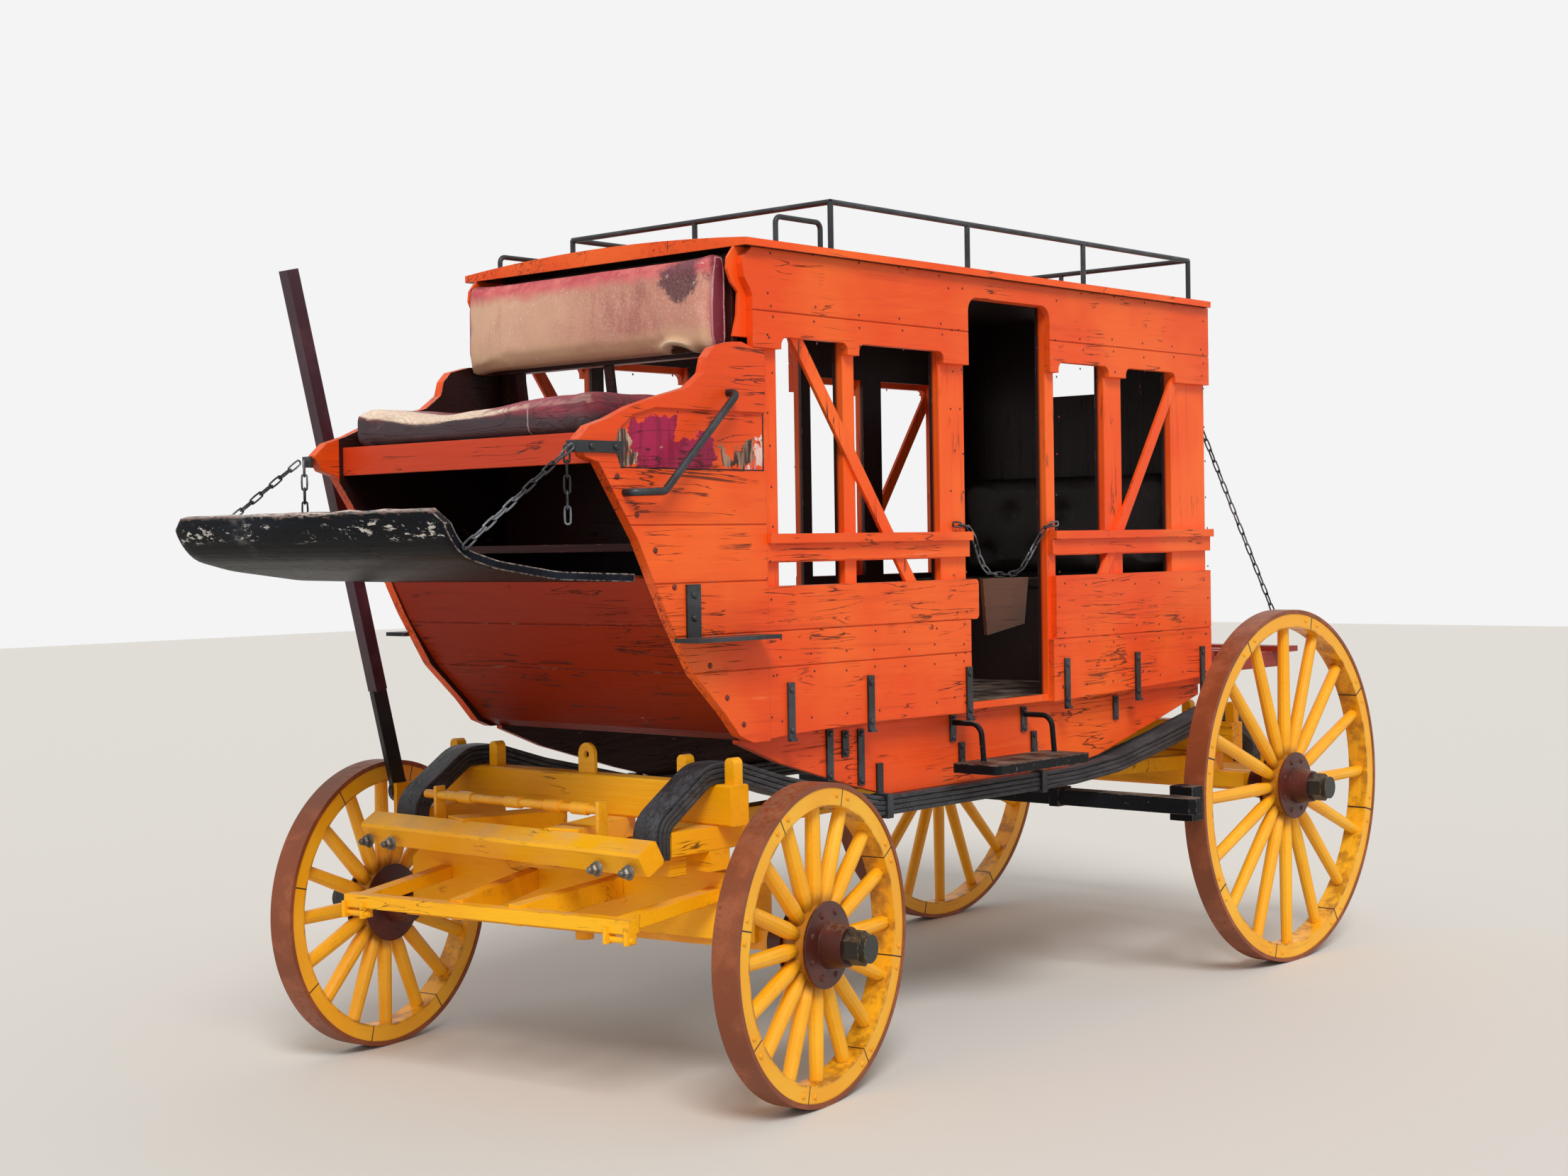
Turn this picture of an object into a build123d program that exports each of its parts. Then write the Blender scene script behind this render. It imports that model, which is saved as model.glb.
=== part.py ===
from build123d import *
import math
import os

# Millimetres, +Z up, the coach faces -Y and its left side is +X.
# The drawing is laid out from the kingpin on the ground, and placed on its own centre when it is saved.

# Running gear, main sizes
WHEELBASE = 2810.0
REAR_WHEEL_D = 1300.0
FRONT_WHEEL_D = 905.0
WHEEL_X = 809.0
PARKED_STEER = 9.0

# Wheels
TYRE_W = 82.0
TYRE_T = 14.0
FELLOE_DEPTH = 50.0
FELLOE_W = 76.0
SPOKE_COUNT = 16
SPOKE_SIDES = 12
SPOKE_R_NAVE = 17.0
SPOKE_R_WAIST = 24.0
SPOKE_R_RIM = 20.5
SPOKE_WAIST_AT = 0.22
NAVE_R = 108.0
NAVE_W = 76.0
SLEEVE_R = 58.0
FLANGE_R = 122.0
FLANGE_T = 14.0
NOSE_R = 67.0
NOSE_TIP_R = 56.0
NOSE_L = 64.0
INNER_NOSE_R = 62.0
INNER_NOSE_L = 72.0

# Axles and their running fits
ARM_R = 26.0
RUN_FIT = 0.3
AXLE_BAR = 56.0
NUT_R = 50.0
NUT_L = 50.0
CAP_R = 40.0
CAP_L = 18.0
KINGPIN_R = 15.0
KINGPIN_NUT_R = 28.0
KINGPIN_NUT_L = 24.0

# Steered gear
BED_DEPTH = 90.0
FRONT_BED_X = 640.0
FRONT_BED_TOP = 640.0
FIFTH_R = 210.0
FIFTH_W = 50.0
FIFTH_T = 6.0
SPLINTER_X = 520.0
SPLINTER_Y = -455.0
SPLINTER_Z = 547.0
SPLINTER_W = 46.0
SPLINTER_T = 38.0
ARM_BACK_X = 500.0
ARM_RISE = 28.0
EYE_T = 12.0
EYE_GAP = 58.0
EYE_PIN_R = 9.0
FUTCHELL_FRONT_X = 105.0
FUTCHELL_BACK_X = 160.0
FUTCHELL_W = 44.0
FUTCHELL_T = 60.0

# Fixed front gear
BOLSTER_X = 560.0
BOLSTER_T = 60.0
BOLSTER_DEPTH = 84.0
HOUND_X = 530.0
HOUND_W = 60.0
INNER_HOUND_FRONT_X = 230.0
INNER_HOUND_BACK_X = 130.0
INNER_HOUND_W = 110.0
INNER_HOUND_T = 60.0
BEAM_Y = 25.0
BEAM_DEPTH = 74.0
BEAM_X = 618.0
BEAM_H = 117.0
FRONT_BEAM_TOP = 897.0
STAKE_H = 76.0
STAKE_W = 36.0
STAKE_IN_X = 408.0
STAKE_OUT_X = 596.0
PLATE_W = 70.0
PLATE_H = 90.0
PLATE_T = 12.0
PLATE_HOLE_R = 11.0
SPRING_BAR_SIDE = 78.0
SPRING_BAR_TILT = 30.0
SPRING_BAR_X = 600.0
SPRING_BAR_Y = -314.0
SPRING_BAR_Z = 725.0
WINDLASS_R = 13.0
WINDLASS_Y = -262.0
WINDLASS_Z = 836.0
WINDLASS_X = 345.0

# Thoroughbraces
BRACE_X = 515.0
BRACE_W = 94.0
BRACE_T = 60.0
SEAT_GAP = 0.3

# Rear gear
REAR_BED_X = 668.0
REAR_BED_Z0 = 634.0
REAR_BED_T = 56.0
REAR_BEAM_TOP = 876.0
REACH_W = 76.0
REACH_T = 65.0
REAR_HOUND_X = 420.0

# Brake
BRAKE_BEAM_X = 900.0
BRAKE_BEAM_W = 70.0
BRAKE_BEAM_T = 55.0
BRAKE_CLIP_X = 330.0
CLIP_T = 6.0
SHOE_W = 90.0
SHOE_H = 120.0
SHOE_GAP = 15.0
SHOE_DEPTH = 70.0
LEVER_X = -700.0
LEVER_T = 42.0
LEVER_FOOT_T = 20.0
LEVER_PIVOT_Y = -133.0
LEVER_PIVOT_Z = 815.0
LEVER_TOP_Y = -515.0
LEVER_TOP_Z = 2425.0
LEVER_EYE_R = 36.0
PIVOT_R = 14.0

# Body
BODY_X = 584.0
BOARD_T = 22.0
FRAME_T = 38.0
BODY_FRONT = 198.0
BODY_REAR = 2677.0
SILL_Z = 1028.0
ROOF_Z = 2425.0
SLOT_Z0 = 1451.0
SLOT_Z1 = 1520.0
BELT_Z1 = 1576.0
SILL_STRIP_Z1 = 1604.0
WINDOW_TOP = 2175.0
DOOR_Y0 = 1180.0
DOOR_Y1 = 1640.0
DOOR_BOTTOM = 1050.0
DOOR_TOP = 2358.0
FASCIA_Z0 = 2139.0
FASCIA_JOINT = 2246.0
FASCIA_FRONT = BODY_FRONT - 50.0
TIER_X = 524.0
TIER_T = 24.0
TIER_BOTTOM = 790.0
FLOOR_Z = 1048.0
FLOOR_T = 20.0
WALL_T = 26.0
BENCH_Z = 1430.0
BENCH_T = 30.0
ROOF_X = 608.0
ROOF_FRONT = 100.0
ROOF_REAR = BODY_REAR - 17.0
ROOF_T = 22.0
ROOF_CAMBER = 26.0

# Roof rail
RAIL_R = 9.0
RAIL_X = 561.0
RAIL_Z = 2596.0
HANDLE_X = 597.0
HANDLE_R = 8.0
RAIL_POSTS = (530.0, 1215.0, 1885.0, ROOF_REAR - 80.0)
ROD_SIDES = 10

# Driver's boot
BOOT_T = 34.0
GRAB_X = 625.0
GRAB_R = 11.0
STRAP_T = 8.0
STEP_W = 90.0
STEP_T = 12.0
STEP_Z = 1318.0
STEP_IN = 592.0
STEP_OUT = 776.0
STEP_PLANK_Z = 869.0
STEP_IRON_Z = 989.0
NOSE_IRON_Y = -558.0
NOSE_IRON_Z = (1824.0, 1856.0)
BOOT_BOTTOM = 1010.0
BOOT_FOOT = 1006.0
FOOTBOARD_X = 542.0
LIP_X = 588.0
LIP_TOP_X = 522.0
SEAT_Z = 1884.0
SEAT_FRONT = -440.0
RISER_H = 84.0
SHELF_Z = 1582.0
STRUT_T = 12.0
CUSHION_X = 535.0
CUSHION_H = 112.0
BACK_Z0 = 2108.0
BACK_Z1 = 2400.0
BACK_FRONT = 10.0
BACK_REAR = 110.3
BACK_X = 549.0

# Windows of each side: start, end along the body
WINDOWS = ((270.0, 572.0), (626.0, 1048.0), (1690.0, 2000.0), (2110.0, 2441.0))

# Chains
LINK_WIRE = 6.0
LINK_W = 22.0
LINK_FIT = 0.8
CHAIN_LOW = 1462.0
CHAIN_BEND = 70.0
SIGN_T = 14.0

# Rear rack
RACK_L = 723.0
RACK_PITCH = 150.0
RACK_Z = 1085.0
RACK_ARM_X = 470.0

# Diagonals of each side: place along the body at the window top and at the slot
BAY_BRACES = ((352.0, 880.0), (2476.0, 1972.0))
BRACE_HALF = 27.0
BAY_BRACE_T = 12.0
BRACE_SEAT = 32.0

# Seams between planks, and the sunk panel under each arm rail
SEAM_W = 4.0
SEAM_DEEP = 3.0
SIDE_SEAM = 1217.0
PANEL_SEAM = 1322.0
REAR_SEAM = 1237.0
BOOT_SEAMS = (1631.0, 1470.0, PANEL_SEAM, SIDE_SEAM)
PANEL_DEEP = 9.0
PANEL_Z0 = 1784.0
PANEL_Z1 = 1952.0
WING_T = 9.0
WING_Z0 = 2168.0

# Straps: upper row on the side boards, lower row on the curved boards (place along, foot, head)
STRAP_FOOT = 1006.0
STRAP_HEAD = 1170.0
STRAP_W = 28.0
LOWER_STRAPS = ((527.0, 856.0, 1013.0), (600.0, 923.0, 1003.0), (675.0, 830.0, 1002.0),
                (1144.0, 927.0, 1014.0), (1190.0, 846.0, 922.0), (1540.0, 930.0, 1014.0),
                (1597.0, 848.0, 928.0), (2105.0, 930.0, 1015.0))
# Loops round the leather: place along, height of the shoulder
LOOPS = ((765.0, TIER_BOTTOM), (1600.0, TIER_BOTTOM))

# Worked out from the sizes above
REAR_R = REAR_WHEEL_D / 2
FRONT_R = FRONT_WHEEL_D / 2
LIP_FRONT = -1012.0
CENTRE_Y = -(LIP_FRONT + WHEELBASE + REAR_R) / 2
NAVE_HALF = NAVE_W / 2
INNER_END = NAVE_HALF + FLANGE_T + INNER_NOSE_L
OUTER_END = NAVE_HALF + FLANGE_T + NOSE_L
BAR_END = WHEEL_X - INNER_END - RUN_FIT
FIFTH_TOP = FRONT_BED_TOP + 2 * FIFTH_T + RUN_FIT
BOLSTER_TOP = FIFTH_TOP + BOLSTER_T
FRAME_X = BODY_X - BOARD_T
TIER_TOP = FLOOR_Z - FLOOR_T
ROOF_TOP = ROOF_Z + ROOF_T + ROOF_CAMBER
ROOF_ARC_R = (ROOF_X ** 2 + ROOF_CAMBER ** 2) / (2 * ROOF_CAMBER)
BOOT_IN = BODY_X - BOOT_T
INNER_X = FRAME_X - FRAME_T
REAR_BEAM_Y = WHEELBASE - 10.0
SHOE_REAR = WHEELBASE - REAR_R - SHOE_GAP
BRAKE_BEAM_Y = SHOE_REAR - SHOE_DEPTH - BRAKE_BEAM_W / 2
RACK_REAR = BODY_REAR + RACK_L
REAR_BAR_Y = REAR_BEAM_Y + BEAM_Y - SPRING_BAR_Y
REAR_BAR_Z = SPRING_BAR_Z - FRONT_BEAM_TOP + REAR_BEAM_TOP

os.makedirs("parts", exist_ok=True)


def save(name, part, steer=0.0):
    """Writes one piece, turned with the steered gear and set on the coach's own centre."""
    placed = part.rotate(Axis.Z, steer).moved(Location((0, CENTRE_Y, 0)))
    placed.label = name
    export_step(placed, f"parts/{name}.step")


def bar(start, end, width, depth):
    """Adds a straight rectangular bar, its width level and across its run."""
    run = Vector(*end) - Vector(*start)
    across = Vector(1, 0, 0) if abs(run.X) < 1e-6 else Vector(0, 0, 1).cross(run)
    with BuildSketch(Plane(origin=start, x_dir=across, z_dir=run)) as section:
        Rectangle(width, depth)
    extrude(section.sketch, amount=run.length)


def rod(start, end, radius):
    """Adds a straight many-sided rod from start to end."""
    run = Vector(*end) - Vector(*start)
    with BuildSketch(Plane(origin=start, z_dir=run)) as section:
        RegularPolygon(radius, ROD_SIDES)
    extrude(section.sketch, amount=run.length)


def pin(start, end, radius, mode=Mode.ADD):
    """Adds or cuts a straight round bar from start to end."""
    run = Vector(*end) - Vector(*start)
    with BuildSketch(Plane(origin=start, z_dir=run)) as section:
        Circle(radius)
    extrude(section.sketch, amount=run.length, mode=mode)


def bent_rod(points, radius, bend):
    """Adds a round rod along points, with every corner bent to one radius."""
    with BuildLine() as run:
        FilletPolyline(*points, radius=bend)
    with BuildSketch(Plane(origin=run.line @ 0, z_dir=run.line % 0)) as section:
        Circle(radius)
    sweep(section.sketch, path=run.line)


def outline(points, inner, outer, mode=Mode.ADD):
    """Adds or cuts a board drawn by its side outline, from one distance across to another."""
    with BuildSketch(Plane.YZ.offset(inner)) as section:
        with BuildLine():
            Polyline(*points, close=True)
        make_face()
    extrude(section.sketch, amount=outer - inner, mode=mode)


def block(x, y, z, mode=Mode.ADD):
    """Adds or cuts a square-cut block between pairs of limits."""
    with BuildSketch(Plane.XY.offset(z[0])) as section:
        with Locations(((x[0] + x[1]) / 2, (y[0] + y[1]) / 2)):
            Rectangle(x[1] - x[0], y[1] - y[0])
    extrude(section.sketch, amount=z[1] - z[0], mode=mode)


def seam(x, y, z):
    """Cuts the seam between two planks, level along the outer face of a side."""
    block((x - SEAM_DEEP, x), y, (z - SEAM_W / 2, z + SEAM_W / 2), mode=Mode.SUBTRACT)


def chain(places):
    """Returns a chain's links, each from one place to the next and a quarter turn from the last."""
    links = []
    for number, (start, end) in enumerate(zip(places, places[1:])):
        run = end - start
        upright = run.cross(Vector(1, 0, 0)).normalized()
        face = upright if number % 2 else upright.cross(run).normalized()
        middle = (start + end) * 0.5 - face * (LINK_WIRE / 2)
        with BuildPart() as link:
            with BuildSketch(Plane(origin=middle, x_dir=run, z_dir=face)):
                Rectangle(run.length + LINK_FIT + 2 * LINK_WIRE, LINK_W)
                Rectangle(run.length + LINK_FIT, LINK_W - 2 * LINK_WIRE, mode=Mode.SUBTRACT)
            extrude(amount=LINK_WIRE)
        links.append(link.part)
    return links


def stops(start, end, count):
    """Returns the places that share a straight chain out between its links."""
    run = Vector(*end) - Vector(*start)
    return [Vector(*start) + run * (number / count) for number in range(count + 1)]


def both_sides(part):
    """Returns a left-hand part with its right-hand mirror image."""
    return Compound([part, mirror(part, about=Plane.YZ)])


# Wheels: tyre, wooden wheel and hub, made for the left side
def wheel_tyre(radius, y):
    with BuildPart() as tyre:
        with BuildSketch(Plane(origin=(WHEEL_X - TYRE_W / 2, y, radius), z_dir=(1, 0, 0))):
            Circle(radius)
            Circle(radius - TYRE_T, mode=Mode.SUBTRACT)
        extrude(amount=TYRE_W)
    return tyre.part


def spoke(length):
    """One turned spoke standing on the nave, thickest a little way out."""
    waist = length * SPOKE_WAIST_AT
    with BuildPart() as turned:
        for height, radius in ((0, SPOKE_R_NAVE), (waist, SPOKE_R_WAIST), (length, SPOKE_R_RIM)):
            with BuildSketch(Plane.XY.offset(height)):
                RegularPolygon(radius, SPOKE_SIDES)
        loft(ruled=True)
    return turned.part


def wooden_wheel(radius, y):
    rim_outer = radius - TYRE_T
    rim_inner = rim_outer - FELLOE_DEPTH
    foot = NAVE_R - 12.0
    length = rim_inner + 10.0 - foot
    turned = spoke(length).moved(Location((0, 0, foot)))
    with BuildPart() as wheel:
        with BuildSketch(Plane.YZ.offset(-FELLOE_W / 2)):
            Circle(rim_outer)
            Circle(rim_inner, mode=Mode.SUBTRACT)
        extrude(amount=FELLOE_W)
        with BuildSketch(Plane.YZ.offset(-NAVE_HALF)):
            Circle(NAVE_R)
        extrude(amount=NAVE_W)
        add([turned.rotate(Axis.X, number * 360.0 / SPOKE_COUNT) for number in range(SPOKE_COUNT)])
        with BuildSketch(Plane.YZ.offset(-NAVE_HALF)):
            Circle(SLEEVE_R)
        extrude(amount=NAVE_W, mode=Mode.SUBTRACT)
    return wheel.part.moved(Location((WHEEL_X, y, radius)))


def wheel_hub(radius, y):
    """Iron hub: inner nose and flange, sleeve through the nave, outer flange and nose, bored for the arm."""
    bore = ARM_R + RUN_FIT
    steps = (
        (bore, -INNER_END), (INNER_NOSE_R - 8, -INNER_END), (INNER_NOSE_R, -NAVE_HALF - FLANGE_T),
        (FLANGE_R, -NAVE_HALF - 4), (FLANGE_R, -NAVE_HALF), (SLEEVE_R, -NAVE_HALF),
        (SLEEVE_R, NAVE_HALF), (FLANGE_R, NAVE_HALF), (FLANGE_R, NAVE_HALF + 8),
        (NOSE_R, NAVE_HALF + FLANGE_T), (NOSE_TIP_R, OUTER_END), (bore, OUTER_END),
    )
    with BuildPart() as hub:
        with BuildSketch(Plane.XZ):
            with BuildLine():
                Polyline(*steps, close=True)
            make_face()
        revolve(axis=Axis.Z)
    return hub.part.rotate(Axis.Y, 90).moved(Location((WHEEL_X, y, radius)))


for place, radius, y, steer in (("front", FRONT_R, 0.0, PARKED_STEER), ("rear", REAR_R, WHEELBASE, 0.0)):
    pieces = {
        "tyre": wheel_tyre(radius, y),
        "spoked_wheel": wooden_wheel(radius, y),
        "hub": wheel_hub(radius, y),
    }
    for kind, left in pieces.items():
        save(f"{place}_left_{kind}", left, steer)
        save(f"{place}_right_{kind}", mirror(left, about=Plane.YZ), steer)


# Axles: square bar between round arms, with a nut and cap on each end
def axle(z, y):
    with BuildPart() as iron:
        bar((-BAR_END, y, z), (BAR_END, y, z), AXLE_BAR, AXLE_BAR)
        for side in (-1, 1):
            nut_x = WHEEL_X + OUTER_END + RUN_FIT
            pin((side * BAR_END, y, z), (side * nut_x, y, z), ARM_R)
            with BuildSketch(Plane(origin=(side * nut_x, y, z), z_dir=(side, 0, 0))):
                RegularPolygon(NUT_R, 6)
            extrude(amount=NUT_L)
            pin((side * (nut_x + NUT_L), y, z), (side * (nut_x + NUT_L + CAP_L), y, z), CAP_R)
    return iron.part


KINGPIN_BORE = KINGPIN_R + RUN_FIT
with BuildPart() as front_axle:
    add(axle(FRONT_R, 0.0))
    pin((0, 0, FRONT_R - AXLE_BAR), (0, 0, FRONT_R + AXLE_BAR), KINGPIN_BORE, mode=Mode.SUBTRACT)
save("front_axle", front_axle.part, PARKED_STEER)

BED_FRONT = -BED_DEPTH / 2
with BuildPart() as front_bed:
    block((-FRONT_BED_X, FRONT_BED_X), (BED_FRONT, -BED_FRONT), (FRONT_R - 6, FRONT_BED_TOP))
    chamfer(front_bed.edges().filter_by(Axis.Y).group_by(Axis.Z)[-1], length=30.0)
    block((-FRONT_BED_X, FRONT_BED_X), (-AXLE_BAR / 2, AXLE_BAR / 2), (FRONT_R - 6, FRONT_R + AXLE_BAR / 2),
          mode=Mode.SUBTRACT)
    pin((0, 0, FRONT_R), (0, 0, FRONT_BED_TOP), KINGPIN_BORE, mode=Mode.SUBTRACT)
save("front_axle_bed", front_bed.part, PARKED_STEER)

with BuildPart() as lower_ring:
    with BuildSketch(Plane.XY.offset(FRONT_BED_TOP)):
        Circle(FIFTH_R)
        Circle(FIFTH_R - FIFTH_W, mode=Mode.SUBTRACT)
    extrude(amount=FIFTH_T)
save("fifth_wheel_lower", lower_ring.part, PARKED_STEER)

# Splinter frame: front bar with eyes at its ends, spread side arms and converging futchells
EYE_OUT = SPLINTER_X
EYE_IN = EYE_OUT - EYE_GAP - 2 * EYE_T
EYE_Y = SPLINTER_Y - 14
EYE_Z = SPLINTER_Z - SPLINTER_T / 2 - 17
with BuildPart() as splinter_frame:
    bar((-SPLINTER_X, SPLINTER_Y, SPLINTER_Z), (SPLINTER_X, SPLINTER_Y, SPLINTER_Z), SPLINTER_W, SPLINTER_T)
    for side in (-1, 1):
        arm_front = (side * (SPLINTER_X - 50), SPLINTER_Y, SPLINTER_Z)
        arm_back = (side * ARM_BACK_X, BED_FRONT, SPLINTER_Z + ARM_RISE)
        bar(arm_front, arm_back, SPLINTER_W, SPLINTER_T)
        futchell_back = (side * FUTCHELL_BACK_X, BED_FRONT, SPLINTER_Z + ARM_RISE)
        bar((side * FUTCHELL_FRONT_X, SPLINTER_Y, SPLINTER_Z), futchell_back, FUTCHELL_W, FUTCHELL_T)
        for ear in (EYE_IN, EYE_OUT - EYE_T):
            block(sorted((side * ear, side * (ear + EYE_T))), (EYE_Y - 20, SPLINTER_Y + 10),
                  (EYE_Z - EYE_T, SPLINTER_Z))
        pin((side * (EYE_IN - 8), EYE_Y, EYE_Z), (side * (EYE_OUT + 8), EYE_Y, EYE_Z), EYE_PIN_R)
    block((-SPLINTER_X - 60, SPLINTER_X + 60), (BED_FRONT, -BED_FRONT), (SPLINTER_Z - 100, SPLINTER_Z + 100),
          mode=Mode.SUBTRACT)
save("splinter_frame", splinter_frame.part, PARKED_STEER)

# Fixed front bolster with the upper ring and the kingpin with its nut
AXLE_UNDER = FRONT_R - AXLE_BAR / 2
with BuildPart() as front_bolster:
    with BuildSketch(Plane.XY.offset(FRONT_BED_TOP + FIFTH_T + RUN_FIT)):
        Circle(FIFTH_R)
        Circle(FIFTH_R - FIFTH_W, mode=Mode.SUBTRACT)
    extrude(amount=FIFTH_T)
    block((-BOLSTER_X, BOLSTER_X), (-BOLSTER_DEPTH / 2, BOLSTER_DEPTH / 2), (FIFTH_TOP, BOLSTER_TOP))
    pin((0, 0, AXLE_UNDER - RUN_FIT - KINGPIN_NUT_L), (0, 0, BOLSTER_TOP), KINGPIN_R)
    pin((0, 0, AXLE_UNDER - RUN_FIT - KINGPIN_NUT_L), (0, 0, AXLE_UNDER - RUN_FIT), KINGPIN_NUT_R)
save("front_bolster", front_bolster.part)

# Spring bars: square timbers on edge, with hook bolts through the front one
def spring_bar(y, z, tilt):
    with BuildPart() as timber:
        with BuildSketch(Plane.YZ.offset(-SPRING_BAR_X)):
            with Locations(Location((y, z), tilt)):
                Rectangle(SPRING_BAR_SIDE, SPRING_BAR_SIDE)
        extrude(amount=2 * SPRING_BAR_X)
        chamfer(timber.edges().filter_by(Axis.X), length=8.0)
    return timber.part


front_bar = spring_bar(SPRING_BAR_Y, SPRING_BAR_Z, SPRING_BAR_TILT)
save("front_spring_bar", front_bar)

def lever_bracket():
    """Adds the plate, arm and pin that carry the brake lever outside the right-hand hound."""
    cheek = LEVER_X + LEVER_FOOT_T / 2 + RUN_FIT
    washer = LEVER_X - LEVER_FOOT_T / 2 - RUN_FIT
    arm_y = (LEVER_PIVOT_Y - 30, LEVER_PIVOT_Y + 30)
    pivot = (LEVER_PIVOT_Y, LEVER_PIVOT_Z)
    pin((washer - PIVOT_R, *pivot), (cheek, *pivot), PIVOT_R)
    pin((washer - PIVOT_R, *pivot), (washer, *pivot), PIVOT_R + 10)
    block((cheek, cheek + 16), arm_y, (HOUND_TOP - 40, LEVER_PIVOT_Z + 26))
    block((cheek, -HOUND_X), arm_y, (HOUND_TOP - 40, HOUND_TOP - 20))


# Upper hounds: outer pair under the standing beam, a cross timber in front, inner pair to the spring bar
HOUND_TOP = FRONT_BEAM_TOP - BEAM_H
with BuildPart() as upper_hounds:
    for side in (-1, 1):
        block(sorted((side * (HOUND_X - HOUND_W / 2), side * (HOUND_X + HOUND_W / 2))), (-192, 135),
              (BOLSTER_TOP, HOUND_TOP))
        inner_z = HOUND_TOP - INNER_HOUND_T / 2
        inner_front = (side * INNER_HOUND_FRONT_X, SPRING_BAR_Y + 14, inner_z)
        bar(inner_front, (side * INNER_HOUND_BACK_X, BEAM_Y, inner_z), INNER_HOUND_W, INNER_HOUND_T)
    block((-HOUND_X, HOUND_X), (-175, -105), (FIFTH_TOP, BOLSTER_TOP + 1))
    lever_bracket()
    add(front_bar, mode=Mode.SUBTRACT)
    block((-HOUND_X, HOUND_X), (-BOLSTER_DEPTH / 2, BOLSTER_DEPTH / 2), (FIFTH_TOP - 20, BOLSTER_TOP),
          mode=Mode.SUBTRACT)
save("upper_hounds", upper_hounds.part)


# Standing beams with their end stakes, which hold the leather from each side
def standing_beam(y, top):
    front = y - BEAM_DEPTH / 2
    with BuildPart() as beam:
        block((-BEAM_X, BEAM_X), (front, front + BEAM_DEPTH), (top - BEAM_H, top))
        chamfer(beam.edges().filter_by(Axis.X), length=5.0)
        for x in (-STAKE_OUT_X, -STAKE_IN_X, STAKE_IN_X, STAKE_OUT_X):
            with BuildSketch(Plane.XZ.offset(-y - STAKE_W / 2)):
                with Locations((x, top + STAKE_H / 2 - STAKE_W / 4)):
                    Rectangle(STAKE_W, STAKE_H - STAKE_W / 2)
                with Locations((x, top + STAKE_H - STAKE_W / 2)):
                    Circle(STAKE_W / 2)
            extrude(amount=STAKE_W)
    return beam.part


with BuildPart() as front_beam:
    add(standing_beam(BEAM_Y, FRONT_BEAM_TOP))
    with BuildSketch(Plane.XZ.offset(-BEAM_Y - PLATE_T / 2)):
        with Locations((0, FRONT_BEAM_TOP + (PLATE_H - PLATE_W / 2) / 2)):
            Rectangle(PLATE_W, PLATE_H - PLATE_W / 2)
        with Locations((0, FRONT_BEAM_TOP + PLATE_H - PLATE_W / 2)):
            Circle(PLATE_W / 2)
            Circle(PLATE_HOLE_R, mode=Mode.SUBTRACT)
    extrude(amount=PLATE_T)
save("front_standing_beam", front_beam.part)


# Windlass shaft between two plates that stand behind the spring bar
with BuildPart() as windlass:
    pin((-WINDLASS_X - 60, WINDLASS_Y, WINDLASS_Z), (WINDLASS_X, WINDLASS_Y, WINDLASS_Z), WINDLASS_R)
    for collar in (-250.0, -40.0, 130.0, 240.0):
        pin((collar, WINDLASS_Y, WINDLASS_Z), (collar + 60, WINDLASS_Y, WINDLASS_Z), WINDLASS_R + 5)
    for side in (-1, 1):
        block(sorted((side * WINDLASS_X, side * (WINDLASS_X + 12))), (WINDLASS_Y - 14, WINDLASS_Y + 22),
              (HOUND_TOP - 60, WINDLASS_Z + 26))
    add(front_bar, mode=Mode.SUBTRACT)
save("windlass_shaft", windlass.part)

# Thoroughbraces: leather bands over both standing beams, sagging level under the body
BRACE_MID_Z = TIER_BOTTOM - SEAT_GAP - BRACE_T / 2
FRONT_CREST = FRONT_BEAM_TOP + SEAT_GAP + BRACE_T / 2
REAR_CREST = REAR_BEAM_TOP + SEAT_GAP + BRACE_T / 2
FRONT_FOOT_Y = SPRING_BAR_Y + 86.0
REAR_FOOT_Y = REAR_BAR_Y - 86.0
BRACE_LINE = (
    (FRONT_FOOT_Y, 705.0), (FRONT_FOOT_Y, 800.0), (BEAM_Y - 60, FRONT_CREST), (BEAM_Y + 54, FRONT_CREST),
    (BEAM_Y + 253, 867.0), (740.0, BRACE_MID_Z), (1800.0, BRACE_MID_Z), (2078.0, 778.0), (2400.0, 835.0),
    (REAR_BEAM_Y - 56, REAR_CREST), (REAR_BEAM_Y + 60, REAR_CREST),
    (REAR_FOOT_Y, 790.0), (REAR_FOOT_Y, 700.0),
)
with BuildPart() as left_brace:
    with BuildLine(Plane.YZ.offset(BRACE_X)) as brace_run:
        FilletPolyline(*BRACE_LINE, radius=38.0)
    with BuildSketch(Plane(origin=brace_run.line @ 0, x_dir=(1, 0, 0), z_dir=brace_run.line % 0)):
        Rectangle(BRACE_W, BRACE_T)
    sweep(path=brace_run.line)
save("thoroughbrace_left", left_brace.part)
save("thoroughbrace_right", mirror(left_brace.part, about=Plane.YZ))

# Reach pole from the front bolster to the rear bed
REACH_FRONT = BOLSTER_DEPTH / 2
REACH_REAR = REAR_BEAM_Y - BED_DEPTH / 2
REAR_BED_TOP = REAR_BED_Z0 + REAR_BED_T
REACH_SLOPE = (REAR_BED_TOP - FIFTH_TOP) / (REACH_REAR - REACH_FRONT)
with BuildPart() as reach_pole:
    outline(((REACH_FRONT, FIFTH_TOP), (REACH_REAR, REAR_BED_TOP), (REACH_REAR, REAR_BED_TOP + REACH_T),
             (REACH_FRONT, FIFTH_TOP + REACH_T)), -REACH_W / 2, REACH_W / 2)
save("reach_pole", reach_pole.part)

# Rear axle, its bed with a bolster on it, and the rear hounds
with BuildPart() as rear_axle:
    add(axle(REAR_R, WHEELBASE))
save("rear_axle", rear_axle.part)

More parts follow.
